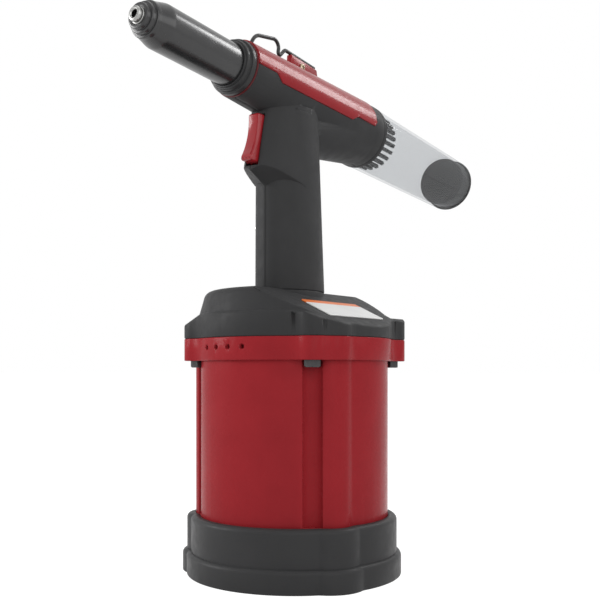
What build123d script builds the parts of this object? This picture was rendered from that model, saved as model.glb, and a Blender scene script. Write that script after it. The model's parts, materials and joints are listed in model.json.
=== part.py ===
from build123d import *
from math import cos, radians, sin, tan
import os

# An air hydraulic riveter, standing on its rubber boot. +X points to the nose, +Y to the tool's
# left, +Z up, and the origin is on the floor below the axis of the air cylinder. Millimetres.

os.makedirs("parts", exist_ok=True)

# Clearances
RUN_GAP = 0.06          # radial, rods and pins in their bores
SEAT_GAP = 0.1          # between a piece and the pocket that it sits in
MOVE_GAP = 0.4          # beside pieces that swing, turn or slide past others
LAP = 1.0               # extra length that makes a cut pass through a face

# Air cylinder and boot
CYLINDER_WALL = 7.8
CYLINDER_H = 115.0
LOBE_COUNT = 3
LOBE_INSET = 8.8        # from the cylinder's side in to the middle of a lobe
LOBE_R = 12.0
VALLEY_R = 5.0
FLANGE_VALLEY_R = 14.0
FLANGE_R = 53.8
FLANGE_LIP = 2.0        # the flange stands this far out from the cylinder
FLANGE_H = 12.0
FLANGE_LOBE_R = 8.8
FLANGE_LOBE_INSET = 2.3     # from the cylinder's side in to the middle of a flange lobe
BOOT_FLOOR = 4.0
BOOT_WALL = 4.9
BOOT_FOOT_PROUD = 2.4
BOOT_FOOT_H = 12.4
BOOT_H = 32.0
BOOT_ROUND = 2.6
BASE_CAP_H = 9.0
SPIGOT_H = 5.0
NUT_POCKET_R = 10.0
NUT_POCKET_DEPTH = 6.5
BASE_SCREW_INSET = 3.2
BASE_SCREW_R = 3.0
BASE_SCREW_HEAD_R = 5.0
BASE_SCREW_HEAD_H = 5.0
BASE_SCREW_REACH = 16.0
SEAL_RING = 3.0         # width of the ring grooves in the air pieces

# Flange bolts and the vents in the flange
BOLT_INSET_X = 14.8     # from the flange's round edge in to the bolts, along X and Y
BOLT_INSET_Y = 16.1
BOLT_SHIFT_X = -2.5
BOLT_LOBE_R = 8.0
BOLT_R = 3.0
BOLT_DEPTH = 6.0
BOLT_NUT_R = 4.7
BOLT_NUT_H = 3.6
NUT_CHANNEL_L = 84.0    # channel below each nut, down to the boot
VENT_COUNT = 4
VENT_R = 1.2
VENT_STEP = 9.6
VENT_FIRST = -22.5
VENT_RISE = 6.9

# Top housing and label
HOUSING_H = 26.0
SKIRT_H = 8.0
CORNER_H = 4.6          # upright height of the skirt's bolt corners
CORNER_SLOPE_H = 9.8    # they slope in to the crown over this height
CROWN_TAPER = 16.0
CROWN_ROUND = 5.0
SLOPE_START_Y = 10.0
SLOPE_ANGLE = 25.0
SLOPE_TURN = 3.0        # the slope faces this much forward of the tool's left
SLOPE_CORNER_H = 12.0   # corners on the sloping side, which the slope cuts
HOUSING_WALL = 15.8
HOUSING_CAVITY_H = 5.0
LABEL_L = 49.0
LABEL_W = 21.0
LABEL_T = 0.6
LABEL_CORNER_R = 1.2
LABEL_X = 0.5
LABEL_DOWN = 26.3       # from the top edge of the slope to the label's middle, along the slope

# Air piston, ram and oil cylinder
BUMPER_T = 3.0
PISTON_H = 14.0
RAM_R = 5.5
RAM_STUD_R = 4.0
RAM_NUT_R = 7.0
RAM_NUT_H = 5.0
RAM_LEAD = 18.0         # length of ram that stands in the oil cylinder at rest
GLAND_H = 12.0
GLAND_R = 8.0
GLAND_HEAD_R = 12.0
GLAND_HEAD_H = 4.0
RAM_SEAL_H = 4.0
OIL_BORE_R = 6.2
OIL_TUBE_R = 10.0
OIL_FLANGE_R = 15.0
OIL_FLANGE_H = 4.0
OIL_PORT_R = 2.5
SILENCER_IN_R = 24.0
SILENCER_H = 9.0

# Air inlet at the back of the top housing
INLET_DROP = 13.0       # from the top of the housing to the inlet's axis
INLET_THREAD_R = 6.6
INLET_THREAD_L = 12.0
INLET_HEX_R = 9.5
INLET_HEX_L = 9.0
INLET_BORE_R = 3.5
INLET_NECK_R = 5.0
INLET_NECK_L = 10.0
SWIVEL_R = 8.6
SWIVEL_L = 26.0
SWIVEL_PORT_R = 5.7
SWIVEL_PORT_L = 12.0

# Handle, above the top housing. Drops, and heights below 0, are from the head's axis on the handle's.
GRIP_BOTTOM_LEN = 45.2
GRIP_BOTTOM_WID = 33.8
GRIP_BOTTOM_X = 3.6
GRIP_TOP_LEN = 40.6
GRIP_TOP_WID = 30.2
GRIP_TOP_X = 6.2
GRIP_H = 96.0
HEAD_RISE = 10.7        # from the top of the grip to the head's axis
UPPER_LOW_DROP = 76.0   # upper handle: two outlines that it is drawn between, and the chin below the trigger
UPPER_LOW_FRONT = 46.1
UPPER_LOW_BACK = -16.6
UPPER_LOW_WID = 32.2
UPPER_TOP_DROP = 8.0
UPPER_TOP_FRONT = 30.6
UPPER_TOP_BACK = -14.5
UPPER_TOP_WID = 30.0
UPPER_WIDEST_X = 5.4
UPPER_SIDE = ((0.30, 0.92), (0.58, 0.765), (0.82, 0.575), (0.94, 0.41))     # on from there, in shares
CHIN_X = 38.2
CHIN_DROP = 46.0
CHIN_SLOPE = 26.6
CHIN_VEE = 28.8         # how steeply the underside rises from the keel to each side
DUCT_R = 1.7
DUCT_X = -12.5
DUCT_TOP_DROP = 36.4

# Head, along an axis that tilts nose up and crosses the handle axis
HEAD_TILT = 4.3
CASING_FRONT_S = 50.4
CASING_REAR_S = -67.3
CASING_FRONT_R = 14.8
CASING_REAR_R = 19.3
COVER_T = 2.0
COVER_PROUD = 0.5
COVER_EDGE = ((50.4, 0.2), (36.0, 0.2), (31.0, -3.5), (-33.5, -3.3), (-38.8, -0.2), (-56.5, -0.4), (-58.6, 2.3))
TRIM_W = 1.0
TRIM_R = 14.6
WEB_REAR_S = -64.0      # round web under the casing, from behind the handle to the rear
WEB_INSET = 0.3
WEB_FRONT_X = 4.0
WEB_FRONT_DROP = 18.0
WEB_FRONT_R = 12.5

# Hydraulic pull head
PULL_BORE_R = 11.5
PULL_TUBE_R = 13.8
PULL_CHAMBER_FRONT_S = 6.0
PULL_CHAMBER_REAR_S = -61.0
PULL_NECK_R = 11.8
PULL_SHOULDER_S = 12.0
PULL_FACE_S = 53.4
PULL_PISTON_S = -3.2
PULL_PISTON_L = 11.8
PULL_ROD_R = 6.0
MANDREL_R = 3.2
ROD_SEAL_S = 14.0
ROD_SEAL_W = 4.0
ROD_SEAL_R = 8.4
PISTON_RING_DEPTH = 2.2
PISTON_RING_W = 3.0
GUIDE_SOCKET_L = 6.0
SADDLE_BOSS_R = 12.6
SADDLE_BOSS_DROP = 26.0
SOCKET_DEPTH = 7.0
REAR_CAP_L = 9.0
REAR_CAP_FLANGE_L = 2.5
REAR_CAP_TAIL_R = 9.0
REAR_CAP_TAIL_L = 10.0
GUIDE_TUBE_R = 4.6
GUIDE_TUBE_END_S = -75.0
SPRING_IN_R = 7.4
SPRING_OUT_R = 9.6

# Nose
NOSE_TIP_S = 122.8
NOSE_TIP_R = 3.6
NOSE_TIP_L = 2.5
NOSE_SHANK_R = 4.0
NOSE_BORE_R = 1.8
NOSE_BELL_R = 2.3
NOSE_TAIL_R = 2.8
NOSE_TAIL_L = 2.6
SLEEVE_R = 10.8
SLEEVE_BORE_R = 8.3
SLEEVE_WALL_S = 112.8   # inside of the sleeve's front wall
SLEEVE_FLANGE_R = 11.6
SLEEVE_FLANGE_L = 3.0
SLEEVE_DOME_S = 107.3   # where the front of the sleeve starts to round in
NOSE_STEP_R = (9.0, 7.6, 6.2)
NOSE_STEP_L = 2.2
COLLAR_LIP_R = 11.8
COLLAR_MID_R = 13.0
COLLAR_REAR_R = 14.2
COLLAR_NOSE_L = 1.7
COLLAR_REAR_L = 3.0
JAW_CASE_R = 7.9
JAW_CASE_FRONT_S = 112.2
JAW_CASE_REAR_S = 73.0
ROD_THREAD_L = 8.0
JAW_CAVITY_R = 6.6
JAW_MOUTH_R = 3.4
JAW_CONE_REAR_S = 94.2
JAW_CONE_FRONT_S = 109.2
JAW_L = 12.0
JAW_SEAT = 1.0          # from the start of the cone to the jaws' rear ends
JAW_COUNT = 3
JAW_ARC = 100.0
JAW_GAP = 0.35
JAW_BITE_R = 1.5
PUSHER_L = 7.0
PUSHER_R = 6.2
PUSHER_BORE_R = 2.4
JAW_SPRING_IN_R = 4.4
JAW_SPRING_OUT_R = 6.0

# Trigger and valve, with heights from the head's axis as well
TRIGGER_W = 7.2
TRIGGER_FACE = ((36.5, -15.4), (37.8, -27.5), (42.9, -38.8))
TRIGGER_LOW_DROP = 41.0
TRIGGER_HEEL = 1.3      # its lower end slopes down by this towards the back
TRIGGER_PIVOT_X = 29.6
TRIGGER_PIVOT_DROP = 20.4
TRIGGER_BACK_X = 30.4
TRIGGER_PIN_R = 1.5
TRIGGER_PIN_L = 12.0
TRIGGER_HUB_R = 3.4
SLOT_BACK_X = 25.6
VALVE_DROP = 33.4
VALVE_R = 4.4
VALVE_L = 12.0
VALVE_BORE_R = 2.9
VALVE_END_T = 1.4
VALVE_GUIDE_L = 2.6
VALVE_STEM_R = 1.8
VALVE_SPOOL_R = 2.6
VALVE_SPOOL_L = 2.4
VALVE_TRAVEL = 2.0

# Hanger and its boss on the red cover
WIRE_R = 1.0
WIRE_SEAT = 0.85        # share of the wire's radius that its middle stands above the boss
BOSS_FRONT_S = 6.5
BOSS_REAR_S = -18.5
BOSS_HALF_W = 1.7
BOSS_FRONT_H = 24.0
BOSS_REAR_H = 23.6
HUMP_REACH = 4.1        # the wire runs on this far past the boss before it dips
HANGER_PATH = ((17.0, 1.7), (15.4, 12.4), (36.5, 8.2), (41.0, 0.5))      # s, and height above the casing
HANGER_BENDS = (3.0, 1.25, 3.9, 9.0)
HANGER_SCREW_S = -3.6
HANGER_SCREW_H = 19.8
HANGER_SCREW_R = 1.2
HANGER_SCREW_HEAD_R = 2.0
HANGER_SCREW_HEAD_T = 1.2

# Small screws of the casing
SMALL_SCREW_R = 1.5
SMALL_HEAD_R = 2.8
SMALL_HEAD_T = 2.0
SHELL_SCREW_PLACES = ((17.5, 10.0), (17.5, 34.0), (14.5, 57.0))     # heights from the top housing
SHELL_SCREW_SEAT_Y = -9.6
SHELL_SCREW_END_Y = 8.0
BLEED_S = 26.0
BLEED_ANGLE = 40.0      # below the horizontal, on the tool's right
BLEED_R = 2.5
BLEED_DEPTH = 4.0
BLEED_HEAD_R = 4.0
BLEED_HEAD_T = 2.4

# Mandrel collector
ADAPTER_FLANGE_L = 3.4
ADAPTER_FLANGE_R = 19.3
ADAPTER_RING_L = 2.4
ADAPTER_RING_R = 16.4
ADAPTER_RING_IN_R = 14.8
RIB_COUNT = 24          # free fingers that stand in the tube's mouth
RIB_R = 16.9
RIB_W = 2.2
RIB_L = 14.5
TUBE_FRONT_R = 19.0
TUBE_REAR_R = 18.1
TUBE_WALL = 1.5
TUBE_END_S = -193.5
END_CAP_L = 12.0
END_CAP_WALL = 2.0
END_CAP_RIM_L = 3.4
END_CAP_ROUND = 2.4
END_CAP_SLOT_W = 1.6
END_CAP_SLOT_L = 27.0
END_CAP_SLOT_TURN = -28.0
END_CAP_SLOT_DEPTH = 1.0

# Levels and places that follow from the sizes
CYLINDER_R = FLANGE_R - FLANGE_LIP
CYLINDER_BORE_R = CYLINDER_R - CYLINDER_WALL
LOBE_PITCH_R = CYLINDER_R - LOBE_INSET
flange_lobe_pitch_r = CYLINDER_R - FLANGE_LOBE_INSET
base_screw_pitch_r = CYLINDER_R - BASE_SCREW_INSET
BOLT_SPAN_X = 2 * (FLANGE_R - BOLT_INSET_X)
BOLT_SPAN_Y = 2 * (FLANGE_R - BOLT_INSET_Y)
HOUSING_CAVITY_R = FLANGE_R - HOUSING_WALL
base_cap_z = BOOT_FLOOR
cylinder_z = base_cap_z + BASE_CAP_H
cylinder_top_z = cylinder_z + CYLINDER_H
flange_z = cylinder_top_z - FLANGE_H
housing_top_z = cylinder_top_z + HOUSING_H
skirt_top_z = cylinder_top_z + SKIRT_H
spigot_top_z = cylinder_z + SPIGOT_H
piston_z = spigot_top_z + BUMPER_T + MOVE_GAP
piston_top_z = piston_z + PISTON_H
gland_z = cylinder_top_z - OIL_FLANGE_H
gland_top_z = gland_z + GLAND_H
ram_top_z = gland_top_z + RAM_LEAD
ram_seal_z = gland_top_z
oil_bore_z = ram_seal_z + RAM_SEAL_H
inlet_z = housing_top_z - INLET_DROP
corner_r = Vector(BOLT_SPAN_X / 2 - BOLT_SHIFT_X, BOLT_SPAN_Y / 2).length + BOLT_LOBE_R
corner_end_z = cylinder_top_z + CORNER_H + CORNER_SLOPE_H
corner_end_r = FLANGE_R - (corner_end_z - skirt_top_z) * tan(radians(CROWN_TAPER)) - LAP
crown_top_r = FLANGE_R - (HOUSING_H - SKIRT_H) * tan(radians(CROWN_TAPER))
slope_run = FLANGE_R + BOLT_LOBE_R - SLOPE_START_Y
inlet_face_x = INLET_HEX_L / 2 - FLANGE_R

HEAD_Z = housing_top_z + GRIP_H + HEAD_RISE
chin_z = HEAD_Z - CHIN_DROP
DUCT_TOP_Z = HEAD_Z - DUCT_TOP_DROP
TRIGGER_LOW_Z = HEAD_Z - TRIGGER_LOW_DROP
TRIGGER_PIVOT_Z = HEAD_Z - TRIGGER_PIVOT_DROP
VALVE_Z = HEAD_Z - VALVE_DROP
trigger_face = [(x, HEAD_Z + height) for x, height in TRIGGER_FACE]
shell_screw_places = [(x, housing_top_z + height) for x, height in SHELL_SCREW_PLACES]
head_dir = Vector(cos(radians(HEAD_TILT)), 0, sin(radians(HEAD_TILT)))
head_up = Vector(-sin(radians(HEAD_TILT)), 0, cos(radians(HEAD_TILT)))
head_origin = Vector(0, 0, HEAD_Z)
head_side = Plane(origin=head_origin, x_dir=head_dir, z_dir=(0, -1, 0))
head_axis = Axis(head_origin, head_dir)

socket_z = HEAD_Z - SADDLE_BOSS_DROP
oil_tube_top_z = socket_z + SOCKET_DEPTH
casing_slope = (CASING_REAR_R - CASING_FRONT_R) / (CASING_REAR_S - CASING_FRONT_S)
nose_wall_front_s = NOSE_TIP_S - NOSE_TIP_L
collar_front_s = PULL_FACE_S + SLEEVE_FLANGE_L + COLLAR_NOSE_L
collar_rear_s = CASING_FRONT_S + TRIM_W
pull_piston_rear_s = PULL_PISTON_S - PULL_PISTON_L
rod_front_s = JAW_CASE_REAR_S + ROD_THREAD_L
rear_cap_s = PULL_CHAMBER_REAR_S + REAR_CAP_L
adapter_rear_s = CASING_REAR_S - ADAPTER_FLANGE_L
tube_front_s = adapter_rear_s - MOVE_GAP
jaw_slope = (JAW_CAVITY_R - JAW_MOUTH_R) / (JAW_CONE_FRONT_S - JAW_CONE_REAR_S)
valve_front_x = SLOT_BACK_X
valve_back_x = valve_front_x - VALVE_L
stem_tip_x = TRIGGER_BACK_X - MOVE_GAP
grip_top_z = housing_top_z + GRIP_H
jaw_rear_s = JAW_CONE_REAR_S + JAW_SEAT
spring_rear_s = rear_cap_s + SEAT_GAP
adapter_hub_s = PULL_CHAMBER_REAR_S - REAR_CAP_FLANGE_L - REAR_CAP_TAIL_L
end_cap_s = TUBE_END_S + END_CAP_L
end_cap_rear_s = TUBE_END_S - END_CAP_RIM_L
tube_bore_end_r = TUBE_REAR_R - TUBE_WALL


def casing_r(s):
    """Outer radius of the head casing at a place along the head."""
    return CASING_FRONT_R + (s - CASING_FRONT_S) * casing_slope


def head_point(s, h, y=0.0):
    """Point at s along the head and h above its axis."""
    p = head_origin + head_dir * s + head_up * h
    return Vector(p.X, y, p.Z)


def cross_plane(s):
    """Plane across the head at s: local x to the tool's left, local y up."""
    return Plane(origin=head_point(s, 0), x_dir=(0, 1, 0), z_dir=head_dir)


def turned(s_from, s_to, r_out, r_in=0.0, mode=Mode.ADD):
    """Half section of a turned step on the head side plane."""
    with Locations(((s_from + s_to) / 2, (r_in + r_out) / 2)):
        Rectangle(abs(s_to - s_from), r_out - r_in, mode=mode)


def upright(z_from, z_to, r_out, r_in=0.0, mode=Mode.ADD):
    """Half section of a turned step on the XZ plane, about the Z axis."""
    with Locations(((r_in + r_out) / 2, (z_from + z_to) / 2)):
        Rectangle(r_out - r_in, abs(z_to - z_from), mode=mode)


def half_section(*points):
    """Closed outline through the given points as a face of the current sketch."""
    with BuildLine(mode=Mode.PRIVATE) as outline:
        Polyline(*points, close=True)
    make_face(outline.edges())


def round_valleys(sketch, main_r):
    """Round the inner corners where the lobes leave the main circle."""
    corners = [v for v in sketch.vertices() if abs(Vector(v).length - main_r) < 0.01 and abs(v.Y) > 1]
    fillet(corners, VALLEY_R)


def lobed_outline(grow):
    """The air cylinder's three-lobed outline, grown outwards."""
    with BuildSketch(mode=Mode.PRIVATE) as outline:
        Circle(CYLINDER_R + grow)
        with PolarLocations(LOBE_PITCH_R, LOBE_COUNT, start_angle=180 / LOBE_COUNT):
            Circle(LOBE_R + grow)
        round_valleys(outline, CYLINDER_R + grow)
    return outline.sketch


def flange_outline():
    """Outline shared by the cylinder's flange and the top housing's skirt."""
    with BuildSketch(mode=Mode.PRIVATE) as outline:
        Circle(FLANGE_R)
        with PolarLocations(flange_lobe_pitch_r, LOBE_COUNT, start_angle=180 / LOBE_COUNT):
            Circle(FLANGE_LOBE_R)
        with Locations((BOLT_SHIFT_X, 0)):
            with GridLocations(BOLT_SPAN_X, BOLT_SPAN_Y, 2, 2):
                Circle(BOLT_LOBE_R)
        offset(amount=FLANGE_VALLEY_R)
        offset(amount=-FLANGE_VALLEY_R)
    return outline.sketch


def finish(piece, label):
    """Label a finished piece and write its file."""
    piece.part.label = label
    export_step(piece.part, f"parts/{label}.step")


# Rubber boot around the foot of the air cylinder
with BuildPart() as rubber_boot:
    foot_grow = BOOT_WALL + BOOT_FOOT_PROUD
    with BuildSketch():
        add(lobed_outline(foot_grow))
    extrude(amount=BOOT_FOOT_H)
    fillet(rubber_boot.faces().sort_by(Axis.Z)[-1].outer_wire().edges(), BOOT_ROUND)
    with BuildSketch(Plane.XY.offset(BOOT_FLOOR)):
        add(lobed_outline(BOOT_WALL))
    extrude(amount=BOOT_H - BOOT_FLOOR)
    fillet(rubber_boot.faces().sort_by(Axis.Z)[-1].outer_wire().edges(), BOOT_ROUND)
    with BuildSketch(Plane.XY.offset(BOOT_FLOOR)):
        add(lobed_outline(SEAT_GAP))
    extrude(amount=BOOT_H, mode=Mode.SUBTRACT)
finish(rubber_boot, "rubber_boot")

# Bottom cap of the air cylinder, with a pocket below the ram's nut
with BuildPart() as cylinder_base_cap:
    with BuildSketch(Plane.XY.offset(base_cap_z)):
        add(lobed_outline(0))
    extrude(amount=BASE_CAP_H)
    with BuildSketch(Plane.XZ):
        upright(cylinder_z, spigot_top_z, CYLINDER_BORE_R - SEAT_GAP)
    revolve(axis=Axis.Z)
    with BuildSketch(Plane.XZ):
        upright(cylinder_z + LAP, cylinder_z + LAP + SEAL_RING, CYLINDER_BORE_R, CYLINDER_BORE_R - SEAL_RING)
        upright(spigot_top_z - NUT_POCKET_DEPTH, spigot_top_z, NUT_POCKET_R)
    revolve(axis=Axis.Z, mode=Mode.SUBTRACT)
    with Locations((0, 0, base_cap_z)):
        with PolarLocations(base_screw_pitch_r, LOBE_COUNT, start_angle=180 / LOBE_COUNT):
            Cylinder(BASE_SCREW_HEAD_R + SEAT_GAP, BASE_SCREW_HEAD_H + SEAT_GAP, mode=Mode.SUBTRACT,
                     align=(Align.CENTER, Align.CENTER, Align.MIN))
            Cylinder(BASE_SCREW_R + SEAT_GAP, BASE_CAP_H, mode=Mode.SUBTRACT,
                     align=(Align.CENTER, Align.CENTER, Align.MIN))
finish(cylinder_base_cap, "cylinder_base_cap")

# Seal ring of the bottom cap
with BuildPart() as base_cap_ring:
    with BuildSketch(Plane.XZ):
        upright(cylinder_z + LAP, cylinder_z + LAP + SEAL_RING, CYLINDER_BORE_R, CYLINDER_BORE_R - SEAL_RING)
    revolve(axis=Axis.Z)
finish(base_cap_ring, "base_cap_ring")

# Three screws that hold the bottom cap, one in each lobe
with BuildPart() as base_cap_screws:
    with Locations((0, 0, base_cap_z + SEAT_GAP)):
        with PolarLocations(base_screw_pitch_r, LOBE_COUNT, start_angle=180 / LOBE_COUNT):
            Cylinder(BASE_SCREW_HEAD_R, BASE_SCREW_HEAD_H, align=(Align.CENTER, Align.CENTER, Align.MIN))
            Cylinder(BASE_SCREW_R, BASE_CAP_H + BASE_SCREW_REACH,
                     align=(Align.CENTER, Align.CENTER, Align.MIN))
finish(base_cap_screws, "base_cap_screws")

# Red air cylinder with its bolt flange and exhaust vents
with BuildPart() as air_cylinder:
    with BuildSketch(Plane.XY.offset(cylinder_z)):
        add(lobed_outline(0))
    extrude(amount=CYLINDER_H)
    with BuildSketch(Plane.XY.offset(flange_z)):
        add(flange_outline())
    extrude(amount=FLANGE_H)
    with Locations((0, 0, cylinder_z)):
        Cylinder(CYLINDER_BORE_R, CYLINDER_H, mode=Mode.SUBTRACT,
                 align=(Align.CENTER, Align.CENTER, Align.MIN))
        with PolarLocations(base_screw_pitch_r, LOBE_COUNT, start_angle=180 / LOBE_COUNT):
            Cylinder(BASE_SCREW_R, BASE_SCREW_REACH + LAP, mode=Mode.SUBTRACT,
                     align=(Align.CENTER, Align.CENTER, Align.MIN))
    with Locations((BOLT_SHIFT_X, 0, flange_z)):
        with GridLocations(BOLT_SPAN_X, BOLT_SPAN_Y, 2, 2):
            Cylinder(BOLT_NUT_R + MOVE_GAP, NUT_CHANNEL_L, mode=Mode.SUBTRACT,
                     align=(Align.CENTER, Align.CENTER, Align.MAX))
            Cylinder(BOLT_R + SEAT_GAP, FLANGE_H, mode=Mode.SUBTRACT,
                     align=(Align.CENTER, Align.CENTER, Align.MIN))
    for vent in range(VENT_COUNT):
        vent_angle = radians(VENT_FIRST + vent * VENT_STEP)
        vent_out = Plane(origin=(0, 0, flange_z + VENT_RISE), z_dir=(cos(vent_angle), sin(vent_angle), 0))
        with BuildSketch(vent_out):
            Circle(VENT_R)
        extrude(amount=FLANGE_R + LAP, mode=Mode.SUBTRACT)
finish(air_cylinder, "air_cylinder")

# Studs in the top housing, and the nuts that hold them below the flange
with BuildPart() as flange_studs:
    with Locations((BOLT_SHIFT_X, 0, flange_z - BOLT_NUT_H)):
        with GridLocations(BOLT_SPAN_X, BOLT_SPAN_Y, 2, 2):
            Cylinder(BOLT_R, BOLT_NUT_H + FLANGE_H + BOLT_DEPTH, align=(Align.CENTER, Align.CENTER, Align.MIN))
finish(flange_studs, "flange_studs")

with BuildPart() as flange_nuts:
    with BuildSketch(Plane.XY.offset(flange_z)):
        with Locations((BOLT_SHIFT_X, 0)):
            with GridLocations(BOLT_SPAN_X, BOLT_SPAN_Y, 2, 2):
                RegularPolygon(BOLT_NUT_R, 6)
                Circle(BOLT_R, mode=Mode.SUBTRACT)
    extrude(amount=-BOLT_NUT_H)
finish(flange_nuts, "flange_nuts")

# Black top housing: a skirt with the flange's outline, and a crown with one sloping side
slope_out = Vector(sin(radians(SLOPE_TURN)), cos(radians(SLOPE_TURN)), 0)
slope_along = Vector(cos(radians(SLOPE_TURN)), -sin(radians(SLOPE_TURN)), 0)
with BuildPart() as top_housing:
    with BuildSketch(Plane.XY.offset(cylinder_top_z)):
        add(flange_outline())
    extrude(amount=CORNER_H + CORNER_SLOPE_H)
    with BuildSketch(Plane.XZ):
        half_section((0, cylinder_top_z), (corner_r, cylinder_top_z), (corner_r, cylinder_top_z + CORNER_H),
                     (corner_end_r, corner_end_z), (0, corner_end_z))
    revolve(axis=Axis.Z, mode=Mode.INTERSECT)
    with BuildSketch(Plane.XY.offset(cylinder_top_z)):
        add(flange_outline())
        with Locations((0, BOLT_SPAN_Y / 2 - BOLT_LOBE_R)):
            Rectangle(4 * FLANGE_R, 4 * FLANGE_R, align=(Align.CENTER, Align.MAX), mode=Mode.SUBTRACT)
    extrude(amount=SLOPE_CORNER_H)
    with BuildSketch(Plane.XZ):
        half_section((0, cylinder_top_z), (FLANGE_R, cylinder_top_z), (FLANGE_R, skirt_top_z),
                     (crown_top_r, housing_top_z), (0, housing_top_z))
    revolve(axis=Axis.Z)
    fillet(top_housing.faces().sort_by(Axis.Z)[-1].outer_wire().edges(), CROWN_ROUND)
    with BuildSketch(Plane(origin=(0, 0, 0), x_dir=slope_out, z_dir=slope_along)):
        half_section((SLOPE_START_Y, housing_top_z), (SLOPE_START_Y, housing_top_z + LAP),
                     (SLOPE_START_Y + slope_run, housing_top_z + LAP),
                     (SLOPE_START_Y + slope_run, housing_top_z - slope_run * tan(radians(SLOPE_ANGLE))))
    extrude(amount=2 * FLANGE_R, both=True, mode=Mode.SUBTRACT)
    with BuildSketch(Plane.XY.offset(skirt_top_z)):
        with Locations((GRIP_BOTTOM_X, 0)):
            Ellipse(GRIP_BOTTOM_LEN / 2, GRIP_BOTTOM_WID / 2)
    extrude(amount=housing_top_z - skirt_top_z)
    with BuildSketch(Plane.XZ):
        upright(cylinder_top_z, cylinder_top_z + HOUSING_CAVITY_H, HOUSING_CAVITY_R, OIL_FLANGE_R)
        upright(cylinder_top_z, housing_top_z, OIL_TUBE_R + SEAT_GAP)
    revolve(axis=Axis.Z, mode=Mode.SUBTRACT)
    with Locations((BOLT_SHIFT_X, 0, cylinder_top_z)):
        with GridLocations(BOLT_SPAN_X, BOLT_SPAN_Y, 2, 2):
            Cylinder(BOLT_R, BOLT_DEPTH, align=(Align.CENTER, Align.CENTER, Align.MIN), mode=Mode.SUBTRACT)
    with BuildSketch(Plane(origin=(inlet_face_x, 0, inlet_z), z_dir=(1, 0, 0))):
        Circle(INLET_HEX_R + MOVE_GAP)
    extrude(amount=-2 * INLET_HEX_L, mode=Mode.SUBTRACT)
    with BuildSketch(Plane(origin=(inlet_face_x, 0, inlet_z), z_dir=(1, 0, 0))):
        Circle(INLET_THREAD_R)
    extrude(amount=INLET_THREAD_L, mode=Mode.SUBTRACT)
    with BuildSketch(Plane(origin=(inlet_face_x, 0, inlet_z), z_dir=(1, 0, 0))):
        Circle(DUCT_R)
    extrude(amount=DUCT_X - inlet_face_x, mode=Mode.SUBTRACT)
    with Locations((DUCT_X, 0, inlet_z)):
        Cylinder(DUCT_R, INLET_DROP, align=(Align.CENTER, Align.CENTER, Align.MIN), mode=Mode.SUBTRACT)
finish(top_housing, "top_housing")

# Blank label plate on the sloping side
slope_down = slope_out * cos(radians(SLOPE_ANGLE)) - Vector(0, 0, 1) * sin(radians(SLOPE_ANGLE))
slope_top = slope_out * SLOPE_START_Y + Vector(0, 0, housing_top_z)
label_middle = slope_top + slope_along * LABEL_X + slope_down * LABEL_DOWN
with BuildPart() as label_plate:
    with BuildSketch(Plane(origin=label_middle, x_dir=slope_along, z_dir=slope_along.cross(slope_down))):
        RectangleRounded(LABEL_L, LABEL_W, LABEL_CORNER_R)
    extrude(amount=LABEL_T)
finish(label_plate, "label_plate")

# Felt ring behind the exhaust vents
with BuildPart() as exhaust_silencer:
    with BuildSketch(Plane.XZ):
        upright(cylinder_top_z - SILENCER_H, cylinder_top_z, CYLINDER_BORE_R - SEAT_GAP, SILENCER_IN_R)
    revolve(axis=Axis.Z)
finish(exhaust_silencer, "exhaust_silencer")

# Rubber stop below the air piston
with BuildPart() as piston_bumper:
    with BuildSketch(Plane.XZ):
        upright(spigot_top_z, spigot_top_z + BUMPER_T, 2 * NUT_POCKET_R + BUMPER_T, 2 * NUT_POCKET_R - BUMPER_T)
    revolve(axis=Axis.Z)
finish(piston_bumper, "piston_bumper")

# Air piston with its ring, the ram and the nut that joins them
ring_z = piston_z + (PISTON_H - SEAL_RING) / 2
with BuildPart() as air_piston:
    with BuildSketch(Plane.XZ):
        upright(piston_z, piston_top_z, CYLINDER_BORE_R - RUN_GAP, RAM_STUD_R)
        upright(ring_z, ring_z + SEAL_RING, CYLINDER_BORE_R, CYLINDER_BORE_R - SEAL_RING, mode=Mode.SUBTRACT)
    revolve(axis=Axis.Z)
finish(air_piston, "air_piston")

with BuildPart() as air_piston_ring:
    with BuildSketch(Plane.XZ):
        upright(ring_z, ring_z + SEAL_RING, CYLINDER_BORE_R - RUN_GAP / 2, CYLINDER_BORE_R - SEAL_RING)
    revolve(axis=Axis.Z)
finish(air_piston_ring, "air_piston_ring")

with BuildPart() as ram:
    with BuildSketch(Plane.XZ):
        upright(piston_z - RAM_NUT_H, piston_top_z, RAM_STUD_R)
        upright(piston_top_z, ram_top_z, RAM_R)
    revolve(axis=Axis.Z)
finish(ram, "ram")

with BuildPart() as ram_nut:
    with BuildSketch(Plane.XY.offset(piston_z)):
        RegularPolygon(RAM_NUT_R, 6)
        Circle(RAM_STUD_R, mode=Mode.SUBTRACT)
    extrude(amount=-RAM_NUT_H)
finish(ram_nut, "ram_nut")

# Oil cylinder in the handle, with the ram's gland and seal at its foot
with BuildPart() as oil_cylinder:
    with BuildSketch(Plane.XZ):
        upright(gland_z, cylinder_top_z, OIL_FLANGE_R, GLAND_R)
        upright(cylinder_top_z, oil_tube_top_z, OIL_TUBE_R, GLAND_R)
        upright(oil_bore_z, oil_tube_top_z, OIL_TUBE_R, OIL_BORE_R)
    revolve(axis=Axis.Z)
finish(oil_cylinder, "oil_cylinder")

with BuildPart() as ram_gland:
    with BuildSketch(Plane.XZ):
        upright(gland_z - GLAND_HEAD_H, gland_z, GLAND_HEAD_R, RAM_R + RUN_GAP)
        upright(gland_z, gland_top_z, GLAND_R, RAM_R + RUN_GAP)
    revolve(axis=Axis.Z)
finish(ram_gland, "ram_gland")

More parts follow.
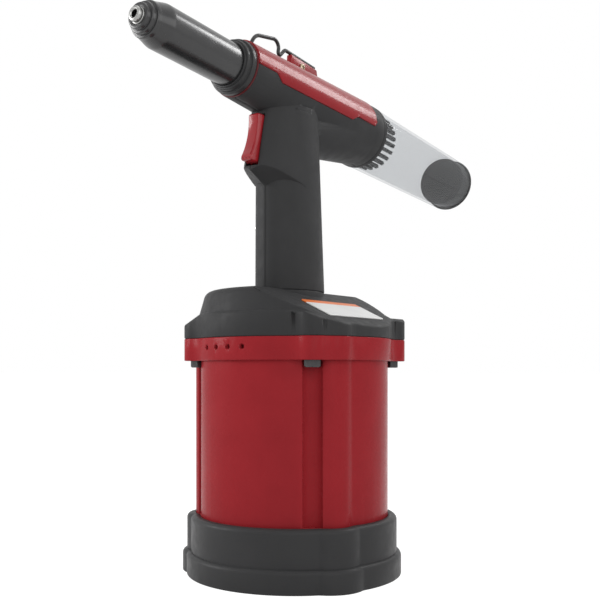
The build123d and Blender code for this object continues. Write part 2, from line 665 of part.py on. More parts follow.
with BuildPart() as ram_seal:
    with BuildSketch(Plane.XZ):
        upright(ram_seal_z, oil_bore_z, GLAND_R, RAM_R + RUN_GAP)
    revolve(axis=Axis.Z)
finish(ram_seal, "ram_seal")

# Air inlet fitting and the swivel that turns on its neck
inlet_side = Plane(origin=(inlet_face_x, 0, inlet_z), x_dir=(-1, 0, 0), z_dir=(0, 1, 0))
inlet_axis = Axis((inlet_face_x, 0, inlet_z), (-1, 0, 0))
neck_end = INLET_HEX_L + INLET_NECK_L
with BuildPart() as air_inlet_fitting:
    with BuildSketch(inlet_side):
        turned(-INLET_THREAD_L, 0, INLET_THREAD_R, INLET_BORE_R)
        turned(INLET_HEX_L, neck_end, INLET_NECK_R, INLET_BORE_R)
    revolve(axis=inlet_axis)
    with BuildSketch(Plane(origin=(inlet_face_x, 0, inlet_z), z_dir=(-1, 0, 0))):
        RegularPolygon(INLET_HEX_R, 6)
        Circle(INLET_BORE_R, mode=Mode.SUBTRACT)
    extrude(amount=INLET_HEX_L)
finish(air_inlet_fitting, "air_inlet_fitting")

swivel_start = INLET_HEX_L + MOVE_GAP
swivel_end = swivel_start + SWIVEL_L
with BuildPart() as inlet_swivel:
    with BuildSketch(inlet_side):
        turned(swivel_start, swivel_end, SWIVEL_R, INLET_BORE_R)
        turned(swivel_start, neck_end + MOVE_GAP, INLET_NECK_R + RUN_GAP, mode=Mode.SUBTRACT)
        turned(swivel_end - SWIVEL_PORT_L, swivel_end, SWIVEL_PORT_R, mode=Mode.SUBTRACT)
    revolve(axis=inlet_axis)
finish(inlet_swivel, "inlet_swivel")

# Hydraulic cylinder of the head, with a saddle boss that stands on the oil cylinder
with BuildPart() as head_cylinder:
    with BuildSketch(head_side):
        turned(PULL_FACE_S, PULL_SHOULDER_S, PULL_NECK_R)
        turned(PULL_SHOULDER_S, PULL_CHAMBER_REAR_S, PULL_TUBE_R)
    revolve(axis=head_axis)
    with Locations((0, 0, socket_z)):
        Cylinder(SADDLE_BOSS_R, SADDLE_BOSS_DROP, align=(Align.CENTER, Align.CENTER, Align.MIN))
    with BuildSketch(head_side):
        turned(PULL_FACE_S, PULL_CHAMBER_FRONT_S, PULL_ROD_R + RUN_GAP)
        turned(PULL_CHAMBER_FRONT_S, PULL_CHAMBER_REAR_S, PULL_BORE_R)
        turned(ROD_SEAL_S, ROD_SEAL_S + ROD_SEAL_W, ROD_SEAL_R)
    revolve(axis=head_axis, mode=Mode.SUBTRACT)
    with Locations((0, 0, socket_z)):
        Cylinder(OIL_TUBE_R + SEAT_GAP, SOCKET_DEPTH, align=(Align.CENTER, Align.CENTER, Align.MIN),
                 mode=Mode.SUBTRACT)
        Cylinder(OIL_PORT_R, SADDLE_BOSS_DROP, align=(Align.CENTER, Align.CENTER, Align.MIN),
                 mode=Mode.SUBTRACT)
    bleed_out = Vector(0, -cos(radians(BLEED_ANGLE)), 0) - head_up * sin(radians(BLEED_ANGLE))
    bleed_plane = Plane(origin=head_point(BLEED_S, 0) + bleed_out * PULL_NECK_R, z_dir=bleed_out)
    with BuildSketch(bleed_plane):
        Circle(BLEED_R)
    extrude(amount=-BLEED_DEPTH, mode=Mode.SUBTRACT)
finish(head_cylinder, "head_cylinder")

with BuildPart() as bleed_screw:
    with BuildSketch(bleed_plane):
        Circle(BLEED_R)
    extrude(amount=-BLEED_DEPTH)
    with BuildSketch(bleed_plane.offset(SEAT_GAP)):
        Circle(BLEED_HEAD_R)
    extrude(amount=BLEED_HEAD_T)
    with BuildSketch(bleed_plane):
        Circle(BLEED_R)
    extrude(amount=SEAT_GAP)
finish(bleed_screw, "bleed_screw")

with BuildPart() as rod_seal:
    with BuildSketch(head_side):
        turned(ROD_SEAL_S, ROD_SEAL_S + ROD_SEAL_W, ROD_SEAL_R, PULL_ROD_R + RUN_GAP)
    revolve(axis=head_axis)
finish(rod_seal, "rod_seal")

# Hydraulic piston with its hollow draw rod, ring, return spring and mandrel guide tube
piston_ring_s = PULL_PISTON_S - (PULL_PISTON_L - PISTON_RING_W) / 2
with BuildPart() as head_piston:
    with BuildSketch(head_side):
        turned(rod_front_s, PULL_PISTON_S, PULL_ROD_R, MANDREL_R)
        turned(PULL_PISTON_S, pull_piston_rear_s, PULL_BORE_R - RUN_GAP, MANDREL_R)
        turned(piston_ring_s, piston_ring_s - PISTON_RING_W, PULL_BORE_R, PULL_BORE_R - PISTON_RING_DEPTH,
               mode=Mode.SUBTRACT)
        turned(pull_piston_rear_s, pull_piston_rear_s + GUIDE_SOCKET_L, GUIDE_TUBE_R, mode=Mode.SUBTRACT)
    revolve(axis=head_axis)
finish(head_piston, "head_piston")

with BuildPart() as head_piston_ring:
    with BuildSketch(head_side):
        turned(piston_ring_s, piston_ring_s - PISTON_RING_W, PULL_BORE_R - RUN_GAP / 2,
               PULL_BORE_R - PISTON_RING_DEPTH)
    revolve(axis=head_axis)
finish(head_piston_ring, "head_piston_ring")

with BuildPart() as guide_tube:
    with BuildSketch(head_side):
        turned(pull_piston_rear_s + GUIDE_SOCKET_L, GUIDE_TUBE_END_S, GUIDE_TUBE_R, MANDREL_R)
    revolve(axis=head_axis)
finish(guide_tube, "guide_tube")

with BuildPart() as return_spring:
    with BuildSketch(head_side):
        turned(pull_piston_rear_s - SEAT_GAP, spring_rear_s, SPRING_OUT_R, SPRING_IN_R)
    revolve(axis=head_axis)
finish(return_spring, "return_spring")

with BuildPart() as rear_cap:
    with BuildSketch(head_side):
        turned(rear_cap_s, PULL_CHAMBER_REAR_S, PULL_BORE_R, GUIDE_TUBE_R + RUN_GAP)
        turned(PULL_CHAMBER_REAR_S, PULL_CHAMBER_REAR_S - REAR_CAP_FLANGE_L, PULL_TUBE_R,
               GUIDE_TUBE_R + RUN_GAP)
        turned(PULL_CHAMBER_REAR_S, adapter_hub_s, REAR_CAP_TAIL_R, GUIDE_TUBE_R + RUN_GAP)
    revolve(axis=head_axis)
finish(rear_cap, "rear_cap")

# Nose: sleeve, collar nut, trim ring and the steel nosepiece
step_s = [nose_wall_front_s - NOSE_STEP_L * count for count in range(len(NOSE_STEP_R), -1, -1)]
with BuildPart() as front_sleeve:
    with BuildSketch(head_side):
        half_section((PULL_FACE_S, SLEEVE_BORE_R), (PULL_FACE_S, SLEEVE_R), (SLEEVE_DOME_S, SLEEVE_R),
                     (step_s[0], NOSE_STEP_R[0]), (step_s[0], NOSE_SHANK_R), (SLEEVE_WALL_S, NOSE_SHANK_R),
                     (SLEEVE_WALL_S, SLEEVE_BORE_R))
        turned(PULL_FACE_S, PULL_FACE_S + SLEEVE_FLANGE_L, SLEEVE_FLANGE_R, SLEEVE_BORE_R)
        for place, radius in zip(step_s, NOSE_STEP_R):
            turned(place, place + NOSE_STEP_L, radius, NOSE_SHANK_R)
    revolve(axis=head_axis)
finish(front_sleeve, "front_sleeve")

with BuildPart() as nosepiece:
    with BuildSketch(head_side):
        turned(nose_wall_front_s, NOSE_TIP_S, NOSE_TIP_R, NOSE_BORE_R)
        turned(SLEEVE_WALL_S, nose_wall_front_s, NOSE_SHANK_R, NOSE_BORE_R)
        turned(SLEEVE_WALL_S - NOSE_TAIL_L, SLEEVE_WALL_S, NOSE_TAIL_R, NOSE_BORE_R)
    revolve(axis=head_axis)
    mouth = nosepiece.faces().sort_by(head_axis)[-1].inner_wires()[0].edges()
    chamfer(mouth, NOSE_BELL_R - NOSE_BORE_R)
finish(nosepiece, "nosepiece")

collar_mid_s = PULL_FACE_S + SLEEVE_FLANGE_L
with BuildPart() as collar_nut:
    with BuildSketch(head_side):
        turned(collar_mid_s, collar_front_s, COLLAR_LIP_R, SLEEVE_R + SEAT_GAP)
        turned(collar_rear_s, collar_front_s - COLLAR_NOSE_L / 2, COLLAR_MID_R, SLEEVE_R + SEAT_GAP)
        turned(collar_rear_s, collar_rear_s + COLLAR_REAR_L, COLLAR_REAR_R, SLEEVE_R + SEAT_GAP)
        turned(collar_rear_s, collar_mid_s, SLEEVE_FLANGE_R + SEAT_GAP, mode=Mode.SUBTRACT)
        turned(collar_rear_s, PULL_FACE_S, PULL_NECK_R + SEAT_GAP, mode=Mode.SUBTRACT)
    revolve(axis=head_axis)
finish(collar_nut, "collar_nut")

with BuildPart() as trim_ring:
    with BuildSketch(head_side):
        turned(CASING_FRONT_S, collar_rear_s, TRIM_R, PULL_NECK_R + SEAT_GAP)
    revolve(axis=head_axis)
finish(trim_ring, "trim_ring")

# Jaw case on the draw rod, with three jaws, their pusher and its spring
with BuildPart() as jaw_case:
    with BuildSketch(head_side):
        half_section((JAW_CASE_REAR_S, PULL_ROD_R), (JAW_CASE_REAR_S, JAW_CASE_R),
                     (JAW_CASE_FRONT_S, JAW_CASE_R), (JAW_CASE_FRONT_S, JAW_MOUTH_R),
                     (JAW_CONE_FRONT_S, JAW_MOUTH_R), (JAW_CONE_REAR_S, JAW_CAVITY_R),
                     (rod_front_s, JAW_CAVITY_R), (rod_front_s, PULL_ROD_R))
    revolve(axis=head_axis)
finish(jaw_case, "jaw_case")


def jaw_surface_r(s):
    """Radius of the jaws' outer cone, clear of the jaw case."""
    return JAW_CAVITY_R - (s - JAW_CONE_REAR_S) * jaw_slope - JAW_GAP


def radial(angle):
    """Direction across the head: 0 to the tool's left, 90 up."""
    return Vector(0, cos(radians(angle)), 0) + head_up * sin(radians(angle))


for jaw_number in range(JAW_COUNT):
    jaw_from = radial(90 + jaw_number * 360 / JAW_COUNT - JAW_ARC / 2)
    with BuildPart() as jaw:
        with BuildSketch(Plane(origin=head_origin, x_dir=head_dir, z_dir=head_dir.cross(jaw_from))):
            half_section((jaw_rear_s, JAW_BITE_R), (jaw_rear_s, jaw_surface_r(jaw_rear_s)),
                         (jaw_rear_s + JAW_L, jaw_surface_r(jaw_rear_s + JAW_L)),
                         (jaw_rear_s + JAW_L, JAW_BITE_R))
        revolve(axis=head_axis, revolution_arc=JAW_ARC)
    finish(jaw, f"jaw_{jaw_number + 1}")

pusher_front_s = jaw_rear_s - MOVE_GAP
with BuildPart() as jaw_pusher:
    with BuildSketch(head_side):
        turned(pusher_front_s - PUSHER_L, pusher_front_s, PUSHER_R, PUSHER_BORE_R)
    revolve(axis=head_axis)
finish(jaw_pusher, "jaw_pusher")

with BuildPart() as jaw_spring:
    with BuildSketch(head_side):
        turned(rod_front_s + SEAT_GAP, pusher_front_s - PUSHER_L - SEAT_GAP, JAW_SPRING_OUT_R, JAW_SPRING_IN_R)
    revolve(axis=head_axis)
finish(jaw_spring, "jaw_spring")

# Trigger on its pin, and the air valve behind it
with BuildPart() as trigger:
    with BuildSketch(Plane.XZ):
        with BuildLine():
            face_arc = ThreePointArc(*trigger_face)
            Polyline(face_arc @ 1, (trigger_face[-1][0], TRIGGER_LOW_Z),
                     (TRIGGER_BACK_X, TRIGGER_LOW_Z - TRIGGER_HEEL), (TRIGGER_BACK_X, trigger_face[0][1]),
                     face_arc @ 0)
        make_face()
        with Locations((TRIGGER_PIVOT_X, TRIGGER_PIVOT_Z)):
            Circle(TRIGGER_HUB_R)
            Circle(TRIGGER_PIN_R + RUN_GAP, mode=Mode.SUBTRACT)
    extrude(amount=TRIGGER_W / 2, both=True)
finish(trigger, "trigger")

with BuildPart() as trigger_pin:
    with BuildSketch(Plane.XZ):
        with Locations((TRIGGER_PIVOT_X, TRIGGER_PIVOT_Z)):
            Circle(TRIGGER_PIN_R)
    extrude(amount=TRIGGER_PIN_L / 2, both=True)
finish(trigger_pin, "trigger_pin")

valve_side = Plane(origin=(0, 0, VALVE_Z), x_dir=(1, 0, 0), z_dir=(0, -1, 0))
valve_axis = Axis((0, 0, VALVE_Z), (1, 0, 0))
valve_room_back_x = valve_back_x + VALVE_END_T
valve_room_front_x = valve_front_x - VALVE_GUIDE_L
spool_x = valve_room_front_x - VALVE_SPOOL_L - SEAT_GAP
stem_back_x = valve_room_back_x + VALVE_TRAVEL + MOVE_GAP
with BuildPart() as valve_body:
    with BuildSketch(valve_side):
        turned(valve_back_x, valve_front_x, VALVE_R)
        turned(valve_room_back_x, valve_room_front_x, VALVE_BORE_R, mode=Mode.SUBTRACT)
        turned(valve_room_front_x, valve_front_x, VALVE_STEM_R + RUN_GAP, mode=Mode.SUBTRACT)
    revolve(axis=valve_axis)
finish(valve_body, "valve_body")

with BuildPart() as valve_stem:
    with BuildSketch(valve_side):
        turned(stem_back_x, stem_tip_x, VALVE_STEM_R)
        turned(spool_x, spool_x + VALVE_SPOOL_L, VALVE_SPOOL_R)
    revolve(axis=valve_axis)
finish(valve_stem, "valve_stem")

with BuildPart() as valve_spring:
    with BuildSketch(valve_side):
        turned(valve_room_back_x, spool_x - SEAT_GAP, VALVE_SPOOL_R, VALVE_STEM_R + SEAT_GAP)
    revolve(axis=valve_axis)
finish(valve_spring, "valve_spring")


def grip_at(z):
    """Centre, half length and half width of the grip's oval at a height."""
    share = (z - housing_top_z) / GRIP_H
    centre = GRIP_BOTTOM_X + (GRIP_TOP_X - GRIP_BOTTOM_X) * share
    length = GRIP_BOTTOM_LEN + (GRIP_TOP_LEN - GRIP_BOTTOM_LEN) * share
    width = GRIP_BOTTOM_WID + (GRIP_TOP_WID - GRIP_BOTTOM_WID) * share
    return centre, length / 2, width / 2


def grip_oval(z, grow=0.0):
    """The grip's oval at a height, for the current sketch."""
    centre, half_length, half_width = grip_at(z)
    with Locations((centre, 0)):
        Ellipse(half_length + grow, half_width + grow)


# Upper part of the handle: it holds the trigger and ends in a chin above a sloping edge
with BuildPart() as upper_handle:
    for drop, front, back, width in (
        (UPPER_LOW_DROP, UPPER_LOW_FRONT, UPPER_LOW_BACK, UPPER_LOW_WID),
        (UPPER_TOP_DROP, UPPER_TOP_FRONT, UPPER_TOP_BACK, UPPER_TOP_WID),
    ):
        with BuildSketch(Plane.XY.offset(HEAD_Z - drop)):
            with BuildLine():
                EllipticalCenterArc((UPPER_WIDEST_X, 0), UPPER_WIDEST_X - back, width / 2,
                                    start_angle=90, arc_size=90)
                reach = front - UPPER_WIDEST_X
                side_points = [(UPPER_WIDEST_X + reach * along, width / 2 * out) for along, out in UPPER_SIDE]
                Spline((UPPER_WIDEST_X, width / 2), *side_points, (front, 0), tangents=((1, 0), (0, -1)))
                mirror(about=Plane.XZ)
            make_face()
    loft()
    keel = Vector(cos(radians(CHIN_SLOPE)), 0, sin(radians(CHIN_SLOPE)))
    for side in (-1, 1):
        rise = Vector(0, side * cos(radians(CHIN_VEE)), sin(radians(CHIN_VEE)))
        with BuildSketch(Plane(origin=(CHIN_X, 0, chin_z), x_dir=keel, z_dir=rise.cross(keel) * side)):
            Rectangle(2 * UPPER_LOW_DROP, 2 * UPPER_LOW_WID)
        extrude(amount=UPPER_LOW_DROP, mode=Mode.SUBTRACT)

# The whole black casing of the handle and head, before it is parted down the middle
with BuildPart() as casing:
    with BuildSketch(head_side):
        half_section((CASING_FRONT_S, 0), (CASING_FRONT_S, CASING_FRONT_R), (CASING_REAR_S, CASING_REAR_R),
                     (CASING_REAR_S, 0))
    revolve(axis=head_axis)
    with BuildSketch(Plane.XY.offset(housing_top_z)):
        grip_oval(housing_top_z)
    with BuildSketch(Plane.XY.offset(grip_top_z)):
        grip_oval(grip_top_z)
    loft()
    add(upper_handle.part)
    with BuildSketch(cross_plane(WEB_REAR_S)):
        Circle(casing_r(WEB_REAR_S) - WEB_INSET)
    with BuildSketch(Plane(origin=(WEB_FRONT_X, 0, HEAD_Z - WEB_FRONT_DROP), z_dir=(1, 0, 0))):
        Circle(WEB_FRONT_R)
    loft()
    with BuildSketch(head_side):
        half_section(*COVER_EDGE, (COVER_EDGE[-1][0], 2 * CASING_REAR_R), (COVER_EDGE[0][0], 2 * CASING_REAR_R))
    extrude(amount=2 * CASING_REAR_R, both=True, mode=Mode.SUBTRACT)
    with BuildSketch(head_side):
        turned(CASING_FRONT_S, PULL_SHOULDER_S, PULL_NECK_R + SEAT_GAP)
        turned(PULL_SHOULDER_S + SEAT_GAP, CASING_REAR_S, PULL_TUBE_R + SEAT_GAP)
    revolve(axis=head_axis, mode=Mode.SUBTRACT)
    with Locations((0, 0, socket_z - SEAT_GAP)):
        Cylinder(SADDLE_BOSS_R + SEAT_GAP, SADDLE_BOSS_DROP, align=(Align.CENTER, Align.CENTER, Align.MIN),
                 mode=Mode.SUBTRACT)
    with Locations((0, 0, housing_top_z)):
        Cylinder(OIL_TUBE_R + SEAT_GAP, GRIP_H, align=(Align.CENTER, Align.CENTER, Align.MIN),
                 mode=Mode.SUBTRACT)
    with Locations((DUCT_X, 0, housing_top_z)):
        Cylinder(DUCT_R, DUCT_TOP_Z - housing_top_z, align=(Align.CENTER, Align.CENTER, Align.MIN),
                 mode=Mode.SUBTRACT)
    with BuildSketch(Plane.XZ):
        half_section(
            (SLOT_BACK_X, TRIGGER_LOW_Z - 5 * MOVE_GAP),
            (2 * SLOT_BACK_X, TRIGGER_LOW_Z - 5 * MOVE_GAP),
            (2 * SLOT_BACK_X, trigger_face[0][1] + MOVE_GAP),
            (SLOT_BACK_X, trigger_face[0][1] + MOVE_GAP),
        )
    extrude(amount=TRIGGER_W / 2 + MOVE_GAP, both=True, mode=Mode.SUBTRACT)
    with BuildSketch(Plane.XZ):
        with Locations((TRIGGER_PIVOT_X, TRIGGER_PIVOT_Z)):
            Circle(TRIGGER_PIN_R)
    extrude(amount=TRIGGER_PIN_L / 2, both=True, mode=Mode.SUBTRACT)
    with BuildSketch(valve_side):
        turned(OIL_TUBE_R, valve_front_x, VALVE_R + SEAT_GAP)
    revolve(axis=valve_axis, mode=Mode.SUBTRACT)
    with BuildSketch(Plane.XZ.offset(-SHELL_SCREW_END_Y)):
        with Locations(*shell_screw_places):
            Circle(SMALL_SCREW_R)
    extrude(amount=GRIP_BOTTOM_WID, mode=Mode.SUBTRACT)
    with BuildSketch(Plane.XZ.offset(-SHELL_SCREW_SEAT_Y)):
        with Locations(*shell_screw_places):
            Circle(SMALL_HEAD_R + SEAT_GAP)
    extrude(amount=GRIP_BOTTOM_WID, mode=Mode.SUBTRACT)
    with BuildSketch(bleed_plane.offset(-BLEED_DEPTH)):
        Circle(BLEED_HEAD_R + SEAT_GAP)
    extrude(amount=CASING_REAR_R, mode=Mode.SUBTRACT)

with BuildPart() as grip_shell_right:
    add(casing.part)
    split(bisect_by=Plane.XZ, keep=Keep.TOP)
finish(grip_shell_right, "grip_shell_right")

with BuildPart() as grip_shell_left:
    add(casing.part)
    split(bisect_by=Plane.XZ, keep=Keep.BOTTOM)
finish(grip_shell_left, "grip_shell_left")

with BuildPart() as shell_screws:
    with BuildSketch(Plane.XZ.offset(-SHELL_SCREW_END_Y)):
        with Locations(*shell_screw_places):
            Circle(SMALL_SCREW_R)
    extrude(amount=SHELL_SCREW_END_Y - SHELL_SCREW_SEAT_Y)
    with BuildSketch(Plane.XZ.offset(-SHELL_SCREW_SEAT_Y)):
        with Locations(*shell_screw_places):
            Circle(SMALL_HEAD_R)
    extrude(amount=SMALL_HEAD_T)
finish(shell_screws, "shell_screws")

# Wire hanger: a loop over the cover, with its tail along the boss
boss_slope = (BOSS_FRONT_H - BOSS_REAR_H) / (BOSS_FRONT_S - BOSS_REAR_S)
tail_rear_h = BOSS_REAR_H + LAP * boss_slope + WIRE_SEAT * WIRE_R
tail_front_h = BOSS_FRONT_H + HUMP_REACH * boss_slope + WIRE_SEAT * WIRE_R
with BuildPart() as hanger_wire:
    with BuildLine(head_side) as hanger_path:
        FilletPolyline(
            (BOSS_REAR_S + LAP, tail_rear_h),
            (BOSS_FRONT_S + HUMP_REACH, tail_front_h),
            *[(s, casing_r(s) + rise) for s, rise in HANGER_PATH],
            radius=HANGER_BENDS,
        )
    with BuildSketch(Plane(origin=hanger_path.line @ 0, z_dir=hanger_path.line % 0)):
        Circle(WIRE_R)
    sweep()
finish(hanger_wire, "hanger_wire")

# Red cover over the top of the head, with the hanger's boss
with BuildPart() as top_cover:
    with BuildSketch(head_side):
        half_section((CASING_FRONT_S, CASING_FRONT_R - COVER_T), (CASING_FRONT_S, CASING_FRONT_R + COVER_PROUD),
                     (CASING_REAR_S, CASING_REAR_R + COVER_PROUD), (CASING_REAR_S, CASING_REAR_R - COVER_T))
    revolve(axis=head_axis)
    with BuildSketch(head_side):
        half_section(*COVER_EDGE, (COVER_EDGE[-1][0], 2 * CASING_REAR_R), (COVER_EDGE[0][0], 2 * CASING_REAR_R))
    extrude(amount=2 * CASING_REAR_R, both=True, mode=Mode.INTERSECT)
    with BuildSketch(head_side):
        half_section((BOSS_FRONT_S, casing_r(BOSS_FRONT_S)), (BOSS_FRONT_S, BOSS_FRONT_H),
                     (BOSS_REAR_S, BOSS_REAR_H), (BOSS_REAR_S, casing_r(BOSS_REAR_S)))
    extrude(amount=BOSS_HALF_W, both=True)
    add(hanger_wire.part, mode=Mode.SUBTRACT)
    with BuildSketch(head_side):
        with Locations((HANGER_SCREW_S, HANGER_SCREW_H)):
            Circle(HANGER_SCREW_R)
    extrude(amount=BOSS_HALF_W, both=True, mode=Mode.SUBTRACT)
finish(top_cover, "top_cover")

with BuildPart() as hanger_screw:
    with BuildSketch(head_side):
        with Locations((HANGER_SCREW_S, HANGER_SCREW_H)):
            Circle(HANGER_SCREW_R)
    extrude(amount=BOSS_HALF_W, both=True)
    with BuildSketch(head_side.offset(-BOSS_HALF_W)):
        with Locations((HANGER_SCREW_S, HANGER_SCREW_H)):
            Circle(HANGER_SCREW_HEAD_R)
    extrude(amount=-HANGER_SCREW_HEAD_T)
finish(hanger_screw, "hanger_screw")

# Mandrel collector: ribbed adapter on the rear cap, clear tube and end cap
with BuildPart() as collector_adapter:
    with BuildSketch(head_side):
        turned(CASING_REAR_S, adapter_rear_s, ADAPTER_FLANGE_R, REAR_CAP_TAIL_R + SEAT_GAP)
        turned(adapter_rear_s, adapter_rear_s - ADAPTER_RING_L, ADAPTER_RING_R, ADAPTER_RING_IN_R)
    revolve(axis=head_axis)
    with BuildSketch(cross_plane(adapter_rear_s)):
        with PolarLocations((ADAPTER_RING_IN_R + RIB_R) / 2, RIB_COUNT):
            Rectangle(RIB_R - ADAPTER_RING_IN_R, RIB_W)
    extrude(amount=-RIB_L)
finish(collector_adapter, "collector_adapter")

with BuildPart() as collector_tube:
    with BuildSketch(head_side):
        half_section((tube_front_s, TUBE_FRONT_R - TUBE_WALL), (tube_front_s, TUBE_FRONT_R),
                     (TUBE_END_S, TUBE_REAR_R), (TUBE_END_S, tube_bore_end_r))
    revolve(axis=head_axis)
finish(collector_tube, "collector_tube")

with BuildPart() as collector_end_cap:
    with BuildSketch(head_side):
        turned(end_cap_s, TUBE_END_S, tube_bore_end_r - SEAT_GAP)
        half_section((TUBE_END_S, 0), (TUBE_END_S, TUBE_REAR_R), (end_cap_rear_s, TUBE_REAR_R - END_CAP_ROUND),
                     (end_cap_rear_s, 0))
        turned(end_cap_s - END_CAP_WALL, end_cap_rear_s, tube_bore_end_r - END_CAP_WALL, mode=Mode.SUBTRACT)
    revolve(axis=head_axis)
    with BuildSketch(cross_plane(end_cap_s)):
        Rectangle(END_CAP_SLOT_L, END_CAP_SLOT_W, rotation=END_CAP_SLOT_TURN)
    extrude(amount=-END_CAP_SLOT_DEPTH, mode=Mode.SUBTRACT)
finish(collector_end_cap, "collector_end_cap")
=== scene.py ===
"""Looks for an air hydraulic riveter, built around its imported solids.

The tool stands on a rubber boot: a red air cylinder, a black housing with a sloping label side, a moulded
handle with a red trigger, and a tilted head with a red cover, a wire hanger, a steel nosepiece and a clear
collector. Everything is in metres in the frame of the solids, with +X to the nose and +Z up.
"""

import json
import logging
import math
from dataclasses import dataclass, field
from enum import Enum
from typing import Iterable, Sequence

import bmesh
import bpy
from mathutils import Matrix, Vector

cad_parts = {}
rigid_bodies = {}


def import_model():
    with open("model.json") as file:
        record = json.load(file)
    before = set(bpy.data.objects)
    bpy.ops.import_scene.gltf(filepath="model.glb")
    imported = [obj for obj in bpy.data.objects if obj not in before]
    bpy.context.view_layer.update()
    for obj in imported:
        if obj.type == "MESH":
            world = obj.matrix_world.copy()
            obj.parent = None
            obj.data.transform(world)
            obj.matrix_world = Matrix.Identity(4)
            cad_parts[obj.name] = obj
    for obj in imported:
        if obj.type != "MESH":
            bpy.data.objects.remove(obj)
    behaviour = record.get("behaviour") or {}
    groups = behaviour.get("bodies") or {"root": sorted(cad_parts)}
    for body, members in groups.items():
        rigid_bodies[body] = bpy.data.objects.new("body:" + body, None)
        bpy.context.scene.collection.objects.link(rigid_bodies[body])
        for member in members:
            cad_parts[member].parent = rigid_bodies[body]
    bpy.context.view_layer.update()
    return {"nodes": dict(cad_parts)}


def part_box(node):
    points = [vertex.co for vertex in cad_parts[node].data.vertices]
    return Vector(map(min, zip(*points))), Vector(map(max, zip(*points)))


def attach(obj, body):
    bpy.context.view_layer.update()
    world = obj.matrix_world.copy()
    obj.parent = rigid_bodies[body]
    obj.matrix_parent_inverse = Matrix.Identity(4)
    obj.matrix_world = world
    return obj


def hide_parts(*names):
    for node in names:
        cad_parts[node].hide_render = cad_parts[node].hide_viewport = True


log = logging.getLogger("riveter")

MM = 0.001
Colour = tuple[float, float, float]
Point2 = tuple[float, float]
Point3 = tuple[float, float, float]
Corner = tuple[float, float, float]
Section = tuple[Corner, ...]
Row = list[bmesh.types.BMVert]
Mesh = bpy.types.Mesh
Socket = bpy.types.NodeSocket
Object = bpy.types.Object
Solids = dict[str, Object]

# Noise of the finishes, in features per metre
DRIFT_SCALE = 60.0
SHEEN_SCALE = 220.0
RIPPLE_SCALE = 260.0
HAZE_SCALE = 90.0

COAT_ROUGHNESS = 0.06
SQUARE = ((-1, -1), (1, -1), (1, 1), (-1, 1))


class Body(str, Enum):
    """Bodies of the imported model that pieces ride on."""

    FRAME = "frame"
    TRIGGER = "trigger"
    COLLECTOR = "collector"
    COLLECTOR_CAP = "collector_cap"
    INLET_SWIVEL = "inlet_swivel"


class Slot(str, Enum):
    """Material slots of the record."""

    RED_PAINT = "red_paint"
    RED_PLASTIC = "red_plastic"
    BLACK_PLASTIC = "black_plastic"
    BLACK_RUBBER = "black_rubber"
    BLACK_STEEL = "black_steel"
    STEEL = "steel"
    CLEAR_PLASTIC = "clear_plastic"
    LABEL = "label"


class NodeTree:
    """A tree of nodes, with short ways to add to it."""

    def __init__(self, tree: bpy.types.NodeTree) -> None:
        """Take over a tree and empty it.

        Args:
            tree: the tree.
        """
        self.tree = tree
        tree.nodes.clear()

    def node(self, kind: str, values: dict | None = None, **settings: object) -> bpy.types.Node:
        """Add a node.

        Args:
            kind: Blender's name of the node's type.
            values: values of its input sockets, by name or number.
            settings: values for its properties.

        Returns:
            The new node.
        """
        made = self.tree.nodes.new(kind)
        for key, value in settings.items():
            setattr(made, key, value)
        for key, value in (values or {}).items():
            made.inputs[key].default_value = value
        return made

    def link(self, start: Socket, end: Socket) -> None:
        """Join two sockets."""
        self.tree.links.new(start, end)


